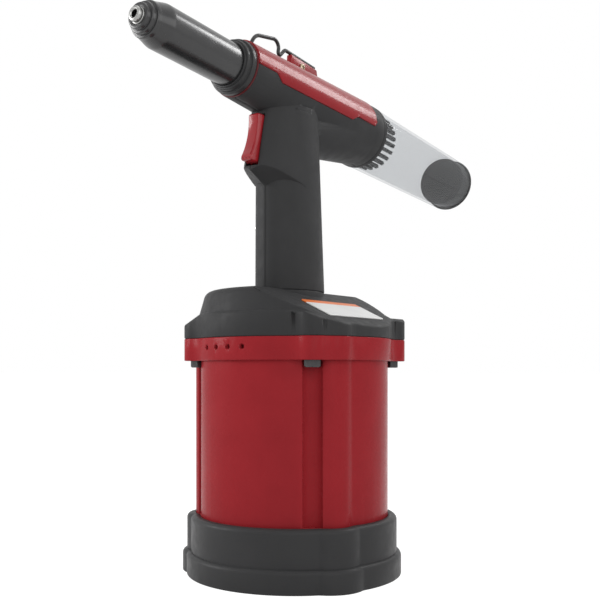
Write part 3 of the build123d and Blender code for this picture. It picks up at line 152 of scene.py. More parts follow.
class Shader(NodeTree):
    """Node tree of one material."""

    def __init__(self, name: str) -> None:
        """Start a tree with a Principled shader.

        Args:
            name: name of the material.
        """
        self.material = bpy.data.materials.new(name)
        self.material.use_nodes = True
        super().__init__(self.material.node_tree)
        self.output = self.node("ShaderNodeOutputMaterial")
        self.surface = self.node("ShaderNodeBsdfPrincipled")
        self.link(self.surface.outputs[0], self.output.inputs["Surface"])
        self.place = self.node("ShaderNodeTexCoord").outputs["Object"]

    def mapped(self, scale: Sequence[float], tilt: float = 0.0) -> Socket:
        """Object coordinates, stretched and turned about Y.

        Args:
            scale: stretch along each axis.
            tilt: turn about Y, in radians.

        Returns:
            The mapped coordinates.
        """
        mapping = self.node("ShaderNodeMapping", {"Rotation": (0.0, tilt, 0.0), "Scale": scale})
        self.link(self.place, mapping.inputs["Vector"])
        return mapping.outputs["Vector"]

    def noise(self, scale: float, detail: float = 3.0,
              where: Socket | None = None) -> Socket:
        """Noise over the object.

        Args:
            scale: features per metre.
            detail: octaves.
            where: coordinates; the object's own if left out.

        Returns:
            The noise value.
        """
        made = self.node("ShaderNodeTexNoise", {"Scale": scale, "Detail": detail})
        self.link(where or self.place, made.inputs["Vector"])
        return made.outputs[0]

    def spread(self, value: Socket, low: float, high: float) -> Socket:
        """Map a 0 to 1 value onto a range.

        Args:
            value: what is mapped.
            low: result at 0.3.
            high: result at 0.7.

        Returns:
            The mapped value.
        """
        made = self.node("ShaderNodeMapRange", {"From Min": 0.3, "From Max": 0.7,
                                                "To Min": low, "To Max": high})
        self.link(value, made.inputs["Value"])
        return made.outputs["Result"]

    def blend(self, share: Socket, first: Colour, second: Colour) -> Socket:
        """Mix two colours.

        Args:
            share: how much of the second.
            first: first colour.
            second: second colour.

        Returns:
            The mixed colour.
        """
        made = self.node("ShaderNodeMix", {6: (*first, 1.0), 7: (*second, 1.0)}, data_type="RGBA")
        self.link(share, made.inputs["Factor"])
        return made.outputs[2]

    def bump(self, height: Socket, depth: float, strength: float = 1.0) -> None:
        """Bump the surface.

        Args:
            height: height pattern.
            depth: its depth in metres.
            strength: share of the effect.
        """
        made = self.node("ShaderNodeBump", {"Strength": strength, "Distance": depth})
        self.link(height, made.inputs["Height"])
        self.feed(made.outputs[0], "Normal")

    def feed(self, value: Socket, name: str) -> None:
        """Join a value to a socket of the shader."""
        self.link(value, self.surface.inputs[name])

    def set(self, **values: float | tuple) -> None:
        """Set sockets of the shader by name, with _ for each space."""
        for key, value in values.items():
            self.surface.inputs[key.replace("_", " ")].default_value = value


@dataclass(frozen=True)
class Finish:
    """A finish: its base colour and roughness."""

    name: str
    colour: Colour
    roughness: float

    def material(self) -> bpy.types.Material:
        """The finish's material, made once.

        Returns:
            The material.
        """
        found = bpy.data.materials.get(self.name)
        if found:
            return found
        shader = Shader(self.name)
        shader.material.diffuse_color = (*self.colour, 1.0)
        self.draw(shader)
        return shader.material

    def draw(self, shader: Shader) -> None:
        """Fill the tree with fine colour drift and an uneven sheen.

        Args:
            shader: the tree to fill.
        """
        drift = shader.noise(DRIFT_SCALE)
        darker = tuple(c * 0.8 for c in self.colour)
        shader.feed(shader.blend(drift, darker, self.colour), "Base Color")
        sheen = shader.spread(shader.noise(SHEEN_SCALE), self.roughness * 0.85, self.roughness * 1.15)
        shader.feed(sheen, "Roughness")


@dataclass(frozen=True)
class GlossFinish(Finish):
    """Glossy paint or plastic with a faint ripple."""

    coat: float = 0.06
    specular: float = 0.16
    ripple_mm: float = 0.006

    def draw(self, shader: Shader) -> None:
        """Add the coat and the ripple to the plain finish.

        Args:
            shader: the tree to fill.
        """
        super().draw(shader)
        shader.set(Coat_Weight=self.coat, Coat_Roughness=COAT_ROUGHNESS, Specular_IOR_Level=self.specular)
        shader.bump(shader.noise(RIPPLE_SCALE, 1.0), self.ripple_mm * MM)


@dataclass(frozen=True)
class MouldedFinish(Finish):
    """Moulded plastic or rubber with a fine grain."""

    grain: float = 2600.0
    grain_mm: float = 0.03
    specular: float = 0.3

    def draw(self, shader: Shader) -> None:
        """Add the grain to the plain finish.

        Args:
            shader: the tree to fill.
        """
        super().draw(shader)
        shader.set(Specular_IOR_Level=self.specular)
        shader.bump(shader.noise(self.grain, 2.0), self.grain_mm * MM, 0.6)


@dataclass(frozen=True)
class TurnedFinish(Finish):
    """Turned metal, with fine rings along the head or along Z."""

    metal: float = 1.0
    tilt: float = 0.0
    stretch: Point3 = (2600.0, 40.0, 40.0)
    marks_mm: float = 0.002
    specular: float = 0.5

    def draw(self, shader: Shader) -> None:
        """Add fine tool marks to the plain finish.

        Args:
            shader: the tree to fill.
        """
        super().draw(shader)
        shader.set(Metallic=self.metal, Specular_IOR_Level=self.specular)
        marks = shader.noise(1.0, 2.0, shader.mapped(self.stretch, self.tilt))
        shader.bump(marks, self.marks_mm * MM, 0.7)


@dataclass(frozen=True)
class ClearFinish(Finish):
    """Thin clear plastic, which bends light little and shines through its coat."""

    ior: float = 1.0
    coat: float = 0.06
    clear: float = 0.95

    def draw(self, shader: Shader) -> None:
        """A clear shader with faint haze.

        Args:
            shader: the tree to fill.
        """
        shader.set(Base_Color=(*self.colour, 1.0), Transmission_Weight=self.clear, IOR=self.ior,
                   Coat_Weight=self.coat, Coat_Roughness=COAT_ROUGHNESS / 2)
        haze = shader.spread(shader.noise(HAZE_SCALE), self.roughness * 0.5, self.roughness * 1.5)
        shader.feed(haze, "Roughness")


@dataclass(frozen=True)
class LabelFinish(Finish):
    """Blank label film with one plain coloured band along its upper edge."""

    band: Colour = (0.75, 0.16, 0.02)
    slope: float = math.radians(25.0)
    turn: float = math.radians(3.0)
    band_end: float = -0.0361

    def draw(self, shader: Shader) -> None:
        """Pale film, banded by the distance down the slope.

        Args:
            shader: the tree to fill.
        """
        super().draw(shader)
        pale = shader.surface.inputs["Base Color"].links[0].from_socket
        level = math.cos(self.slope)
        fall = (level * math.sin(self.turn), level * math.cos(self.turn), -math.sin(self.slope))
        down = shader.node("ShaderNodeVectorMath", {1: fall}, operation="DOT_PRODUCT")
        shader.link(shader.place, down.inputs[0])
        above = shader.node("ShaderNodeMath", {1: self.band_end}, operation="LESS_THAN")
        shader.link(down.outputs["Value"], above.inputs[0])
        mixed = shader.node("ShaderNodeMix", {7: (*self.band, 1.0)}, data_type="RGBA")
        shader.link(above.outputs[0], mixed.inputs["Factor"])
        shader.link(pale, mixed.inputs[6])
        shader.feed(mixed.outputs[2], "Base Color")


HEAD_TILT = math.radians(4.3)
RED_PAINT = GlossFinish("red_enamel", (0.325, 0.023, 0.029), 0.26, 0.01, 0.03)
RED_PLASTIC = GlossFinish("red_cover_plastic", (0.30, 0.016, 0.021), 0.24, 0.03, 0.11)
TRIGGER_PLASTIC = GlossFinish("red_trigger_plastic", (0.34, 0.018, 0.024), 0.2, 0.1, 0.3)
# Red of the trim ring, darkened to paint in the shade that the ring sits in under the head
SHADED_RED = GlossFinish("shade_darkened_red_trim", (0.09, 0.008, 0.010), 0.4)
BLACK_PLASTIC = MouldedFinish("black_moulding", (0.045, 0.045, 0.046), 0.5, specular=0.06)
BLACK_RUBBER = MouldedFinish("boot_rubber", (0.044, 0.044, 0.045), 0.42, 900.0, 0.02, 0.08)
COLLAR_STEEL = TurnedFinish("collar_steel", (0.03, 0.03, 0.031), 0.36, 0.0, HEAD_TILT, specular=0.2)
BLACK_STEEL = TurnedFinish("blackened_steel", (0.022, 0.022, 0.023), 0.24, 0.0, HEAD_TILT, specular=0.5)
BLACK_WIRE = MouldedFinish("black_wire", (0.02, 0.02, 0.02), 0.35, 500.0, 0.01)
STEEL = TurnedFinish("turned_steel", (0.52, 0.51, 0.50), 0.24, 1.0, HEAD_TILT)
NOSE_STEEL = TurnedFinish("nose_steel", (0.36, 0.36, 0.35), 0.26, 1.0, HEAD_TILT)
ALLOY = TurnedFinish("alloy", (0.66, 0.66, 0.67), 0.35, 1.0, 0.0, (60.0, 60.0, 2600.0))
BRASS = TurnedFinish("brass", (0.55, 0.38, 0.14), 0.3)
PLATED = TurnedFinish("plated_screw", (0.42, 0.34, 0.24), 0.4)
CLEAR = ClearFinish("clear_collector", (0.76, 0.77, 0.78), 0.02)
FELT = MouldedFinish("felt", (0.4, 0.39, 0.36), 0.95, 1500.0, 0.2)
LABEL = LabelFinish("label_film", (0.8, 0.8, 0.79), 0.4)
CAP_BLACK = GlossFinish("cap_moulding", (0.03, 0.03, 0.03), 0.34, 0.1, 0.2)

NODE_FINISHES: dict[Finish, tuple[str, ...]] = {
    BLACK_RUBBER: ("piston_bumper", "base_cap_ring", "air_piston_ring", "ram_seal", "rod_seal",
                   "head_piston_ring"),
    STEEL: ("jaw_case", "jaw_1", "jaw_2", "jaw_3", "jaw_pusher", "jaw_spring", "head_piston", "guide_tube",
            "return_spring", "ram", "ram_nut", "oil_cylinder", "trigger_pin", "base_cap_screws",
            "flange_studs", "valve_spring"),
    ALLOY: ("cylinder_base_cap", "air_piston", "head_cylinder", "rear_cap"),
    BRASS: ("ram_gland", "valve_body", "valve_stem"),
    FELT: ("exhaust_silencer",),
}


def turns_of(count: int) -> list[float]:
    """Angles that share out one turn."""
    return [2 * math.pi * i / count for i in range(count)]


def polar(radius: float, turn: float) -> Point2:
    """The two coordinates of a point at a radius and an angle."""
    return radius * math.cos(turn), radius * math.sin(turn)


def hexagon_r(flat: float, turn: float) -> float:
    """Radius of a hexagon at an angle, from half its width across flats."""
    return flat / math.cos((turn + math.pi / 6) % (math.pi / 3) - math.pi / 6)


@dataclass(frozen=True)
class Axis:
    """A straight axis with the two directions across it."""

    start: Point3
    along: Vector
    up: Vector
    across: Vector = field(default_factory=lambda: Vector((0.0, 1.0, 0.0)))

    def at(self, s: float, across: float = 0.0, up: float = 0.0) -> Vector:
        """Point at a distance along, across and above the axis, all in millimetres.

        Args:
            s: distance along the axis.
            across: distance towards +Y.
            up: distance above the axis.

        Returns:
            The point in metres.
        """
        return (Vector(self.start) + self.along * s + self.across * across + self.up * up) * MM

    def round(self, s: float, radius: float, sides: int) -> list[Vector]:
        """A circle of points about the axis.

        Args:
            s: distance along the axis.
            radius: radius of the circle.
            sides: number of points.

        Returns:
            The points in metres.
        """
        return [self.at(s, *polar(radius, t)) for t in turns_of(sides)]

    def hexagon(self, s: float, flat: float, most: float, sides: int) -> list[Vector]:
        """A hexagon of points about the axis, cut back to a largest radius."""
        return [self.at(s, *polar(min(most, hexagon_r(flat, t)), t)) for t in turns_of(sides)]

    def frame(self, s: float) -> Matrix:
        """Matrix that lays a shape built about Z along this axis, in metres."""
        turn = Matrix((self.across, self.up, self.along)).transposed().to_4x4()
        return Matrix.Translation(self.at(s)) @ turn


HEAD = Axis((0.0, 0.0, 260.7), Vector((math.cos(HEAD_TILT), 0.0, math.sin(HEAD_TILT))),
            Vector((-math.sin(HEAD_TILT), 0.0, math.cos(HEAD_TILT))))
INLET = Axis((-49.3, 0.0, 141.0), Vector((-1.0, 0.0, 0.0)), Vector((0.0, 0.0, 1.0)))
UPRIGHT = Axis((0.0, 0.0, 0.0), Vector((0.0, 0.0, 1.0)), Vector((0.0, 1.0, 0.0)), Vector((1.0, 0.0, 0.0)))


def rounded(corners: Sequence[Corner], closed: bool = True, steps: int = 4) -> list[Point2]:
    """Round the corners of a flat outline.

    Args:
        corners: place and radius of each corner.
        closed: whether the last corner joins the first.
        steps: points on each arc, less one.

    Returns:
        The outline's points.
    """
    made: list[Point2] = []
    count = len(corners)
    for i, (x, y, radius) in enumerate(corners):
        here = Vector((x, y))
        if radius <= 0 or (not closed and i in (0, count - 1)):
            made.append((x, y))
            continue
        before = (Vector(corners[i - 1][:2]) - here).normalized()
        after = (Vector(corners[(i + 1) % count][:2]) - here).normalized()
        half = before.angle(after) / 2
        cut = radius / math.tan(half)
        middle = here + (before + after).normalized() * (radius / math.sin(half))
        start = here + before * cut - middle
        end = here + after * cut - middle
        sweep = start.angle_signed(end)
        for step in range(steps + 1):
            arm = start.copy()
            arm.rotate(Matrix.Rotation(-sweep * step / steps, 2))
            made.append(tuple(middle + arm))
    return made


class Shape:
    """Mesh of one piece while it is made."""

    def __init__(self) -> None:
        """Start with an empty mesh."""
        self.bm = bmesh.new()

    def ring(self, points: Iterable[Vector]) -> Row:
        """Add a row of points."""
        return [self.bm.verts.new(point) for point in points]

    def skin(self, first: Row, second: Row, closed: bool = True) -> None:
        """Join two rows with faces.

        Args:
            first: one row.
            second: the other row.
            closed: whether the rows run all the way round.
        """
        count = len(first)
        for i in range(count if closed else count - 1):
            j = (i + 1) % count
            self.bm.faces.new((first[i], first[j], second[j], second[i]))

    def stack(self, rows: Sequence[Sequence[Vector]], closed: bool = False) -> None:
        """Skin a stack of closed rows, with ends or running round.

        Args:
            rows: the rows in order.
            closed: whether the last row joins the first, as in a ring; else both ends are capped.
        """
        rings = [self.ring(row) for row in rows]
        for one, two in zip(rings, rings[1:]):
            self.skin(one, two)
        if closed:
            self.skin(rings[-1], rings[0])
        else:
            self.bm.faces.new(rings[0])
            self.bm.faces.new(rings[-1])

    def lathe(self, axis: Axis, profile: Sequence[Point2], sides: int = 112) -> None:
        """Turn a closed half section about an axis.

        Args:
            axis: what it turns about.
            profile: points of distance along the axis and radius.
            sides: number of sides.
        """
        self.stack([axis.round(s, r, sides) for s, r in profile], closed=True)

    def mesh(self, name: str) -> Mesh:
        """Close the work: merge the points and turn the faces outwards.

        Args:
            name: name of the mesh.

        Returns:
            The mesh.
        """
        bmesh.ops.remove_doubles(self.bm, verts=self.bm.verts[:], dist=1e-7)
        bmesh.ops.recalc_face_normals(self.bm, faces=self.bm.faces[:])
        made = bpy.data.meshes.new(name)
        self.bm.to_mesh(made)
        self.bm.free()
        return made


def smooth(mesh: Mesh, limit: float = 32.0) -> None:
    """Shade a mesh smooth, except at edges over a limit in degrees."""
    mesh.shade_smooth()
    mesh.set_sharp_from_angle(angle=math.radians(limit))


def add_object(name: str, data: bpy.types.ID) -> Object:
    """A new object in the scene.

    Args:
        name: its name.
        data: its mesh, light or camera.

    Returns:
        The object.
    """
    made = bpy.data.objects.new(name, data)
    bpy.context.scene.collection.objects.link(made)
    return made


def evaluated(piece: Object) -> Mesh:
    """The mesh of an object with its modifiers carried out."""
    graph = bpy.context.evaluated_depsgraph_get()
    return bpy.data.meshes.new_from_object(piece.evaluated_get(graph))


def mark_outer_edges(mesh: Mesh, limit: float) -> None:
    """Mark the outer corners for rounding, and keep the inner ones crisp.

    Args:
        mesh: the mesh to mark.
        limit: smallest edge angle that counts, in radians.
    """
    bm = bmesh.new()
    bm.from_mesh(mesh)
    weight = bm.edges.layers.float.new("bevel_weight_edge")
    for edge in bm.edges:
        if len(edge.link_faces) == 2 and edge.calc_face_angle() > limit:
            edge[weight] = 1.0 if edge.is_convex else 0.0
            edge.smooth = edge.is_convex
    bm.to_mesh(mesh)
    bm.free()


def bevelled(mesh: Mesh, width: float, steps: int = 3, limit: float = 30.0) -> Mesh:
    """Round the sharp edges of a mesh.

    Args:
        mesh: the mesh, which is used up.
        width: width of the rounding in millimetres.
        steps: faces across it.
        limit: smallest edge angle that is rounded, in degrees.

    Returns:
        The rounded mesh.
    """
    mesh.shade_smooth()
    mark_outer_edges(mesh, math.radians(limit))
    blank = add_object("blank", mesh)
    rounding = blank.modifiers.new("rounding", "BEVEL")
    rounding.width = width * MM
    rounding.segments = steps
    rounding.limit_method = "WEIGHT"
    rounding.use_clamp_overlap = False
    rounding.harden_normals = True
    made = evaluated(blank)
    bpy.data.objects.remove(blank)
    bpy.data.meshes.remove(mesh)
    return made


def solid_copy(node: Object) -> Mesh:
    """A merged copy of a solid's mesh, with its flat faces joined up.

    Args:
        node: the solid.

    Returns:
        The copy.
    """
    bm = bmesh.new()
    bm.from_mesh(node.data)
    bmesh.ops.remove_doubles(bm, verts=bm.verts[:], dist=2e-6)
    bmesh.ops.dissolve_limit(bm, angle_limit=math.radians(0.3), verts=bm.verts[:], edges=bm.edges[:])
    made = bpy.data.meshes.new("copy")
    bm.to_mesh(made)
    bm.free()
    return made


def set_down(name: str, mesh: Mesh, finish: Finish, body: Body, slot: Slot, *nodes: str) -> None:
    """Make a piece of a finished mesh and tie it to the frame.

    Args:
        name: the piece's name.
        mesh: its mesh, in metres in the shared frame.
        finish: its finish.
        body: the body that it rides on.
        slot: the record's material slot; not used.
        nodes: the solids that it stands for.
    """
    piece = add_object(name, mesh)
    dress(piece, finish)
    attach(piece, body.value)
    if nodes:
        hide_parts(*nodes)
    log.info("%s: %d faces", name, len(mesh.polygons))


def turn_piece(name: str, finish: Finish, slot: Slot, node: str, corners: Sequence[Corner],
               body: Body = Body.FRAME, steps: int = 4, sides: int = 112) -> None:
    """Turn one piece about the head's axis from its rounded half section.

    Args:
        name: the piece's name.
        finish: its finish.
        slot: its material slot.
        node: the solid that it stands for.
        corners: distance along the axis, radius and rounding of each corner.
        body: the body that it rides on.
        steps: points on each rounding, less one.
        sides: number of sides.
    """
    shape = Shape()
    shape.lathe(HEAD, rounded(corners, steps=steps), sides)
    mesh = shape.mesh(name)
    smooth(mesh)
    set_down(name, mesh, finish, body, slot, node)


def dress(piece: Object, finish: Finish) -> None:
    """Give a piece one finish all over.

    Args:
        piece: the object to dress.
        finish: its finish.
    """
    piece.data.materials.clear()
    piece.data.materials.append(finish.material())


class GeometryTree(NodeTree):
    """A Geometry Nodes tree with named sizes."""

    def __init__(self, name: str) -> None:
        """Start a tree that takes and gives geometry.

        Args:
            name: name of the tree.
        """
        super().__init__(bpy.data.node_groups.new(name, "GeometryNodeTree"))
        for way in ("INPUT", "OUTPUT"):
            self.tree.interface.new_socket("Geometry", in_out=way, socket_type="NodeSocketGeometry")
        self.enter = self.node("NodeGroupInput")
        self.leave = self.node("NodeGroupOutput")

    def feed(self, name: str, end: Socket, kind: str = "NodeSocketFloat") -> None:
        """Add a named input and join it to a socket."""
        self.tree.interface.new_socket(name, in_out="INPUT", socket_type=kind)
        self.link(self.enter.outputs[name], end)

    def close(self, instances: Socket) -> None:
        """End the tree in real geometry with its material.

        Args:
            instances: what the tree has made.
        """
        real = self.node("GeometryNodeRealizeInstances")
        painted = self.node("GeometryNodeSetMaterial")
        self.link(instances, real.inputs["Geometry"])
        self.link(real.outputs["Geometry"], painted.inputs["Geometry"])
        self.feed("Material", painted.inputs["Material"], "NodeSocketMaterial")
        self.link(painted.outputs["Geometry"], self.leave.inputs["Geometry"])

    def run(self, points: Mesh, **sizes: object) -> Mesh:
        """Carry the tree out once.

        Args:
            points: mesh that the tree starts from.
            sizes: value of each named input.

        Returns:
            The plain mesh.
        """
        blank = add_object("blank", points)
        work = blank.modifiers.new(self.tree.name, "NODES")
        work.node_group = self.tree
        for item in self.tree.interface.items_tree:
            if item.in_out == "INPUT" and item.name in sizes:
                work[item.identifier] = sizes[item.name]
        made = evaluated(blank)
        bpy.data.objects.remove(blank)
        return made


class RibRing(GeometryTree):
    """Ribs set round Z, each a bar along it."""

    def __init__(self) -> None:
        """Build the tree."""
        super().__init__("rib_ring")
        ring = self.node("GeometryNodeMeshCircle")
        self.feed("Count", ring.inputs["Vertices"], "NodeSocketInt")
        self.feed("Radius", ring.inputs["Radius"])
        bar = self.node("GeometryNodeMeshCube")
        extent = self.node("ShaderNodeCombineXYZ")
        for name, side in zip(("Height", "Width", "Length"), extent.inputs):
            self.feed(name, side)
        self.link(extent.outputs[0], bar.inputs["Size"])
        outward = self.node("FunctionNodeAlignRotationToVector", axis="X", pivot_axis="Z")
        self.link(self.node("GeometryNodeInputPosition").outputs[0], outward.inputs["Vector"])
        placed = self.node("GeometryNodeInstanceOnPoints")
        self.link(ring.outputs["Mesh"], placed.inputs["Points"])
        self.link(bar.outputs["Mesh"], placed.inputs["Instance"])
        self.link(outward.outputs[0], placed.inputs["Rotation"])
        self.close(placed.outputs["Instances"])


class SetOnPoints(GeometryTree):
    """One shape set on each of a few points."""

    def __init__(self) -> None:
        """Build the tree."""
        super().__init__("set_on_points")
        shape = self.node("GeometryNodeObjectInfo")
        self.feed("Shape", shape.inputs["Object"], "NodeSocketObject")
        placed = self.node("GeometryNodeInstanceOnPoints")
        self.link(self.enter.outputs["Geometry"], placed.inputs["Points"])
        self.link(shape.outputs["Geometry"], placed.inputs["Instance"])
        self.close(placed.outputs["Instances"])

    def place(self, shape: Mesh, points: Sequence[Vector], finish: Finish) -> Mesh:
        """Set a shape on points.

        Args:
            shape: what is set, about the origin.
            points: where it goes.
            finish: its finish.

        Returns:
            The joined mesh.
        """
        model = add_object("model", shape)
        spots = bpy.data.meshes.new("spots")
        spots.from_pydata([tuple(p) for p in points], [], [])
        made = self.run(spots, Shape=model, Material=finish.material())
        bpy.data.objects.remove(model)
        return made


@dataclass
class SoftEdges:
    """A piece whose solid has the right form, with rounded edges."""

    piece: str
    node: str
    finish: Finish
    slot: Slot
    width: float
    body: Body = Body.FRAME
    steps: int = 3

    def build(self, solids: Solids) -> None:
        """Round the edges of a copy and let it stand for the solid."""
        mesh = bevelled(solid_copy(solids[self.node]), self.width, self.steps)
        set_down(self.piece, mesh, self.finish, self.body, self.slot, self.node)


SOFT_EDGED = (
    SoftEdges("red_cylinder", "air_cylinder", RED_PAINT, Slot.RED_PAINT, 0.5),
    SoftEdges("moulded_boot", "rubber_boot", BLACK_RUBBER, Slot.BLACK_RUBBER, 0.6),
    SoftEdges("sloping_housing", "top_housing", BLACK_PLASTIC, Slot.BLACK_PLASTIC, 0.8),
    SoftEdges("left_casing", "grip_shell_left", BLACK_PLASTIC, Slot.BLACK_PLASTIC, 0.35),
    SoftEdges("right_casing", "grip_shell_right", BLACK_PLASTIC, Slot.BLACK_PLASTIC, 0.35),
    SoftEdges("finger_trigger", "trigger", TRIGGER_PLASTIC, Slot.RED_PLASTIC, 1.2, Body.TRIGGER, 4),
    SoftEdges("blank_label", "label_plate", LABEL, Slot.LABEL, 0.15),
    SoftEdges("tube_end_cap", "collector_end_cap", CAP_BLACK, Slot.BLACK_PLASTIC, 0.6, Body.COLLECTOR_CAP),
    SoftEdges("casing_screw_set", "shell_screws", STEEL, Slot.STEEL, 0.25),
    SoftEdges("bleed_plug", "bleed_screw", STEEL, Slot.STEEL, 0.3),
)


@dataclass
class Fasteners:
    """Flange nuts and the hanger's screw."""

    nut_r: float = 4.7
    nut_flat: float = 4.07
    nut_h: float = 3.6
    nut_bore: float = 3.05
    nut_chamfer: float = 0.55
    facets: int = 48
    screw_at: Point3 = (-3.6, 1.7, 19.8)
    screw: Section = (
        (-3.4, 0.2, 0), (-3.4, 1.2, 0), (0.0, 1.2, 0), (0.0, 2.0, 0.1), (1.2, 1.9, 0.75), (1.2, 0.2, 0))
    recess: tuple[float, float] = (1.3, 0.36)
    recess_depth: tuple[float, float] = (0.55, 2.4)

    def build(self) -> None:
        """Make each set of fasteners."""
        lo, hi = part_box("flange_nuts")
        spots = [Vector((x, y, hi.z)) for x in (lo.x + self.nut_r * MM, hi.x - self.nut_r * MM)
                 for y in (lo.y + self.nut_flat * MM, hi.y - self.nut_flat * MM)]
        nuts = SetOnPoints().place(self.nut(), spots, BLACK_STEEL)
        smooth(nuts)
        set_down("flange_nut_set", nuts, BLACK_STEEL, Body.FRAME, Slot.BLACK_STEEL, "flange_nuts")
        self.hanger_screw()

    def nut(self) -> Mesh:
        """A hexagon nut below the origin, with chamfered corners.

        Returns:
            Its mesh.
        """
        shape = Shape()
        flat = self.nut_r * math.cos(math.pi / 6)
        low = -self.nut_h
        shape.stack([UPRIGHT.hexagon(s, flat, most, self.facets) for s, most in (
            (0.0, self.nut_r), (low + self.nut_chamfer, self.nut_r), (low, flat * 0.98),
            (low, self.nut_bore), (0.0, self.nut_bore))], closed=True)
        return shape.mesh("nut")

    def hanger_screw(self) -> None:
        """A small pan head with a cross recess, on the side of the hanger's boss."""
        axis = Axis(tuple(HEAD.at(*self.screw_at) / MM), Vector((0.0, 1.0, 0.0)), HEAD.up, HEAD.along)
        shape = Shape()
        shape.lathe(axis, rounded(self.screw), 40)
        mesh = shape.mesh("hanger_screw")
        cut = Shape()
        for wide, high in (self.recess, reversed(self.recess)):
            cut.stack([[axis.at(s, x * wide, y * high) for x, y in SQUARE] for s in self.recess_depth])
        piece = add_object("blank", mesh)
        tool = add_object("tool", cut.mesh("tool"))
        recess = piece.modifiers.new("recess", "BOOLEAN")
        recess.object = tool
        recess.use_self = True
        result = evaluated(piece)
        bpy.data.objects.remove(piece)
        bpy.data.objects.remove(tool)
        smooth(result)
        set_down("hanger_cross_screw", result, PLATED, Body.FRAME, Slot.BLACK_STEEL, "hanger_screw")


@dataclass
class Nose:
    """Trim ring, collar, front sleeve and nosepiece, all turned about the head's axis."""

    trim: Section = (
        (50.4, 12.0, 0.2), (50.4, 14.6, 0.2), (51.4, 14.6, 0.3), (51.4, 12.0, 0.2))
    collar: Section = (
        (51.4, 11.9, 0), (51.4, 14.2, 0.3), (54.4, 14.2, 0.6), (54.4, 13.0, 0.3), (57.2, 13.0, 0.7),
        (57.2, 11.8, 0.2), (58.1, 11.8, 0.35), (58.1, 10.9, 0.15), (56.5, 10.9, 0), (56.5, 11.7, 0),
        (53.4, 11.7, 0), (53.4, 11.9, 0))
    sleeve: Section = (
        (53.4, 8.3, 0), (53.4, 11.6, 0), (56.4, 11.6, 0), (56.4, 10.8, 0), (107.3, 10.8, 9.0),
        (113.7, 9.0, 0.5), (115.9, 8.8, 0.6), (115.9, 7.6, 0.2), (118.1, 7.5, 0.6), (118.1, 6.2, 0.2),
        (120.3, 6.1, 0.6), (120.3, 4.1, 0.2), (112.8, 4.1, 0), (112.8, 8.3, 0))
    tip: Section = (
        (110.2, 1.8, 0), (110.2, 2.8, 0.2), (112.8, 2.8, 0), (112.8, 4.0, 0), (120.3, 4.0, 0.3),
        (120.4, 3.6, 0.1), (122.8, 3.6, 0.9), (122.8, 2.3, 0.1), (122.3, 1.8, 0.1))

    def build(self) -> None:
        """Turn each piece."""
        # The trim ring takes the red that is darkened to paint in its shade
        turn_piece("front_trim", SHADED_RED, Slot.RED_PLASTIC, "trim_ring", self.trim)
        turn_piece("front_collar", COLLAR_STEEL, Slot.BLACK_STEEL, "collar_nut", self.collar)
        turn_piece("nose_sleeve", BLACK_STEEL, Slot.BLACK_STEEL, "front_sleeve", self.sleeve)
        turn_piece("nose_tip", NOSE_STEEL, Slot.STEEL, "nosepiece", self.tip)


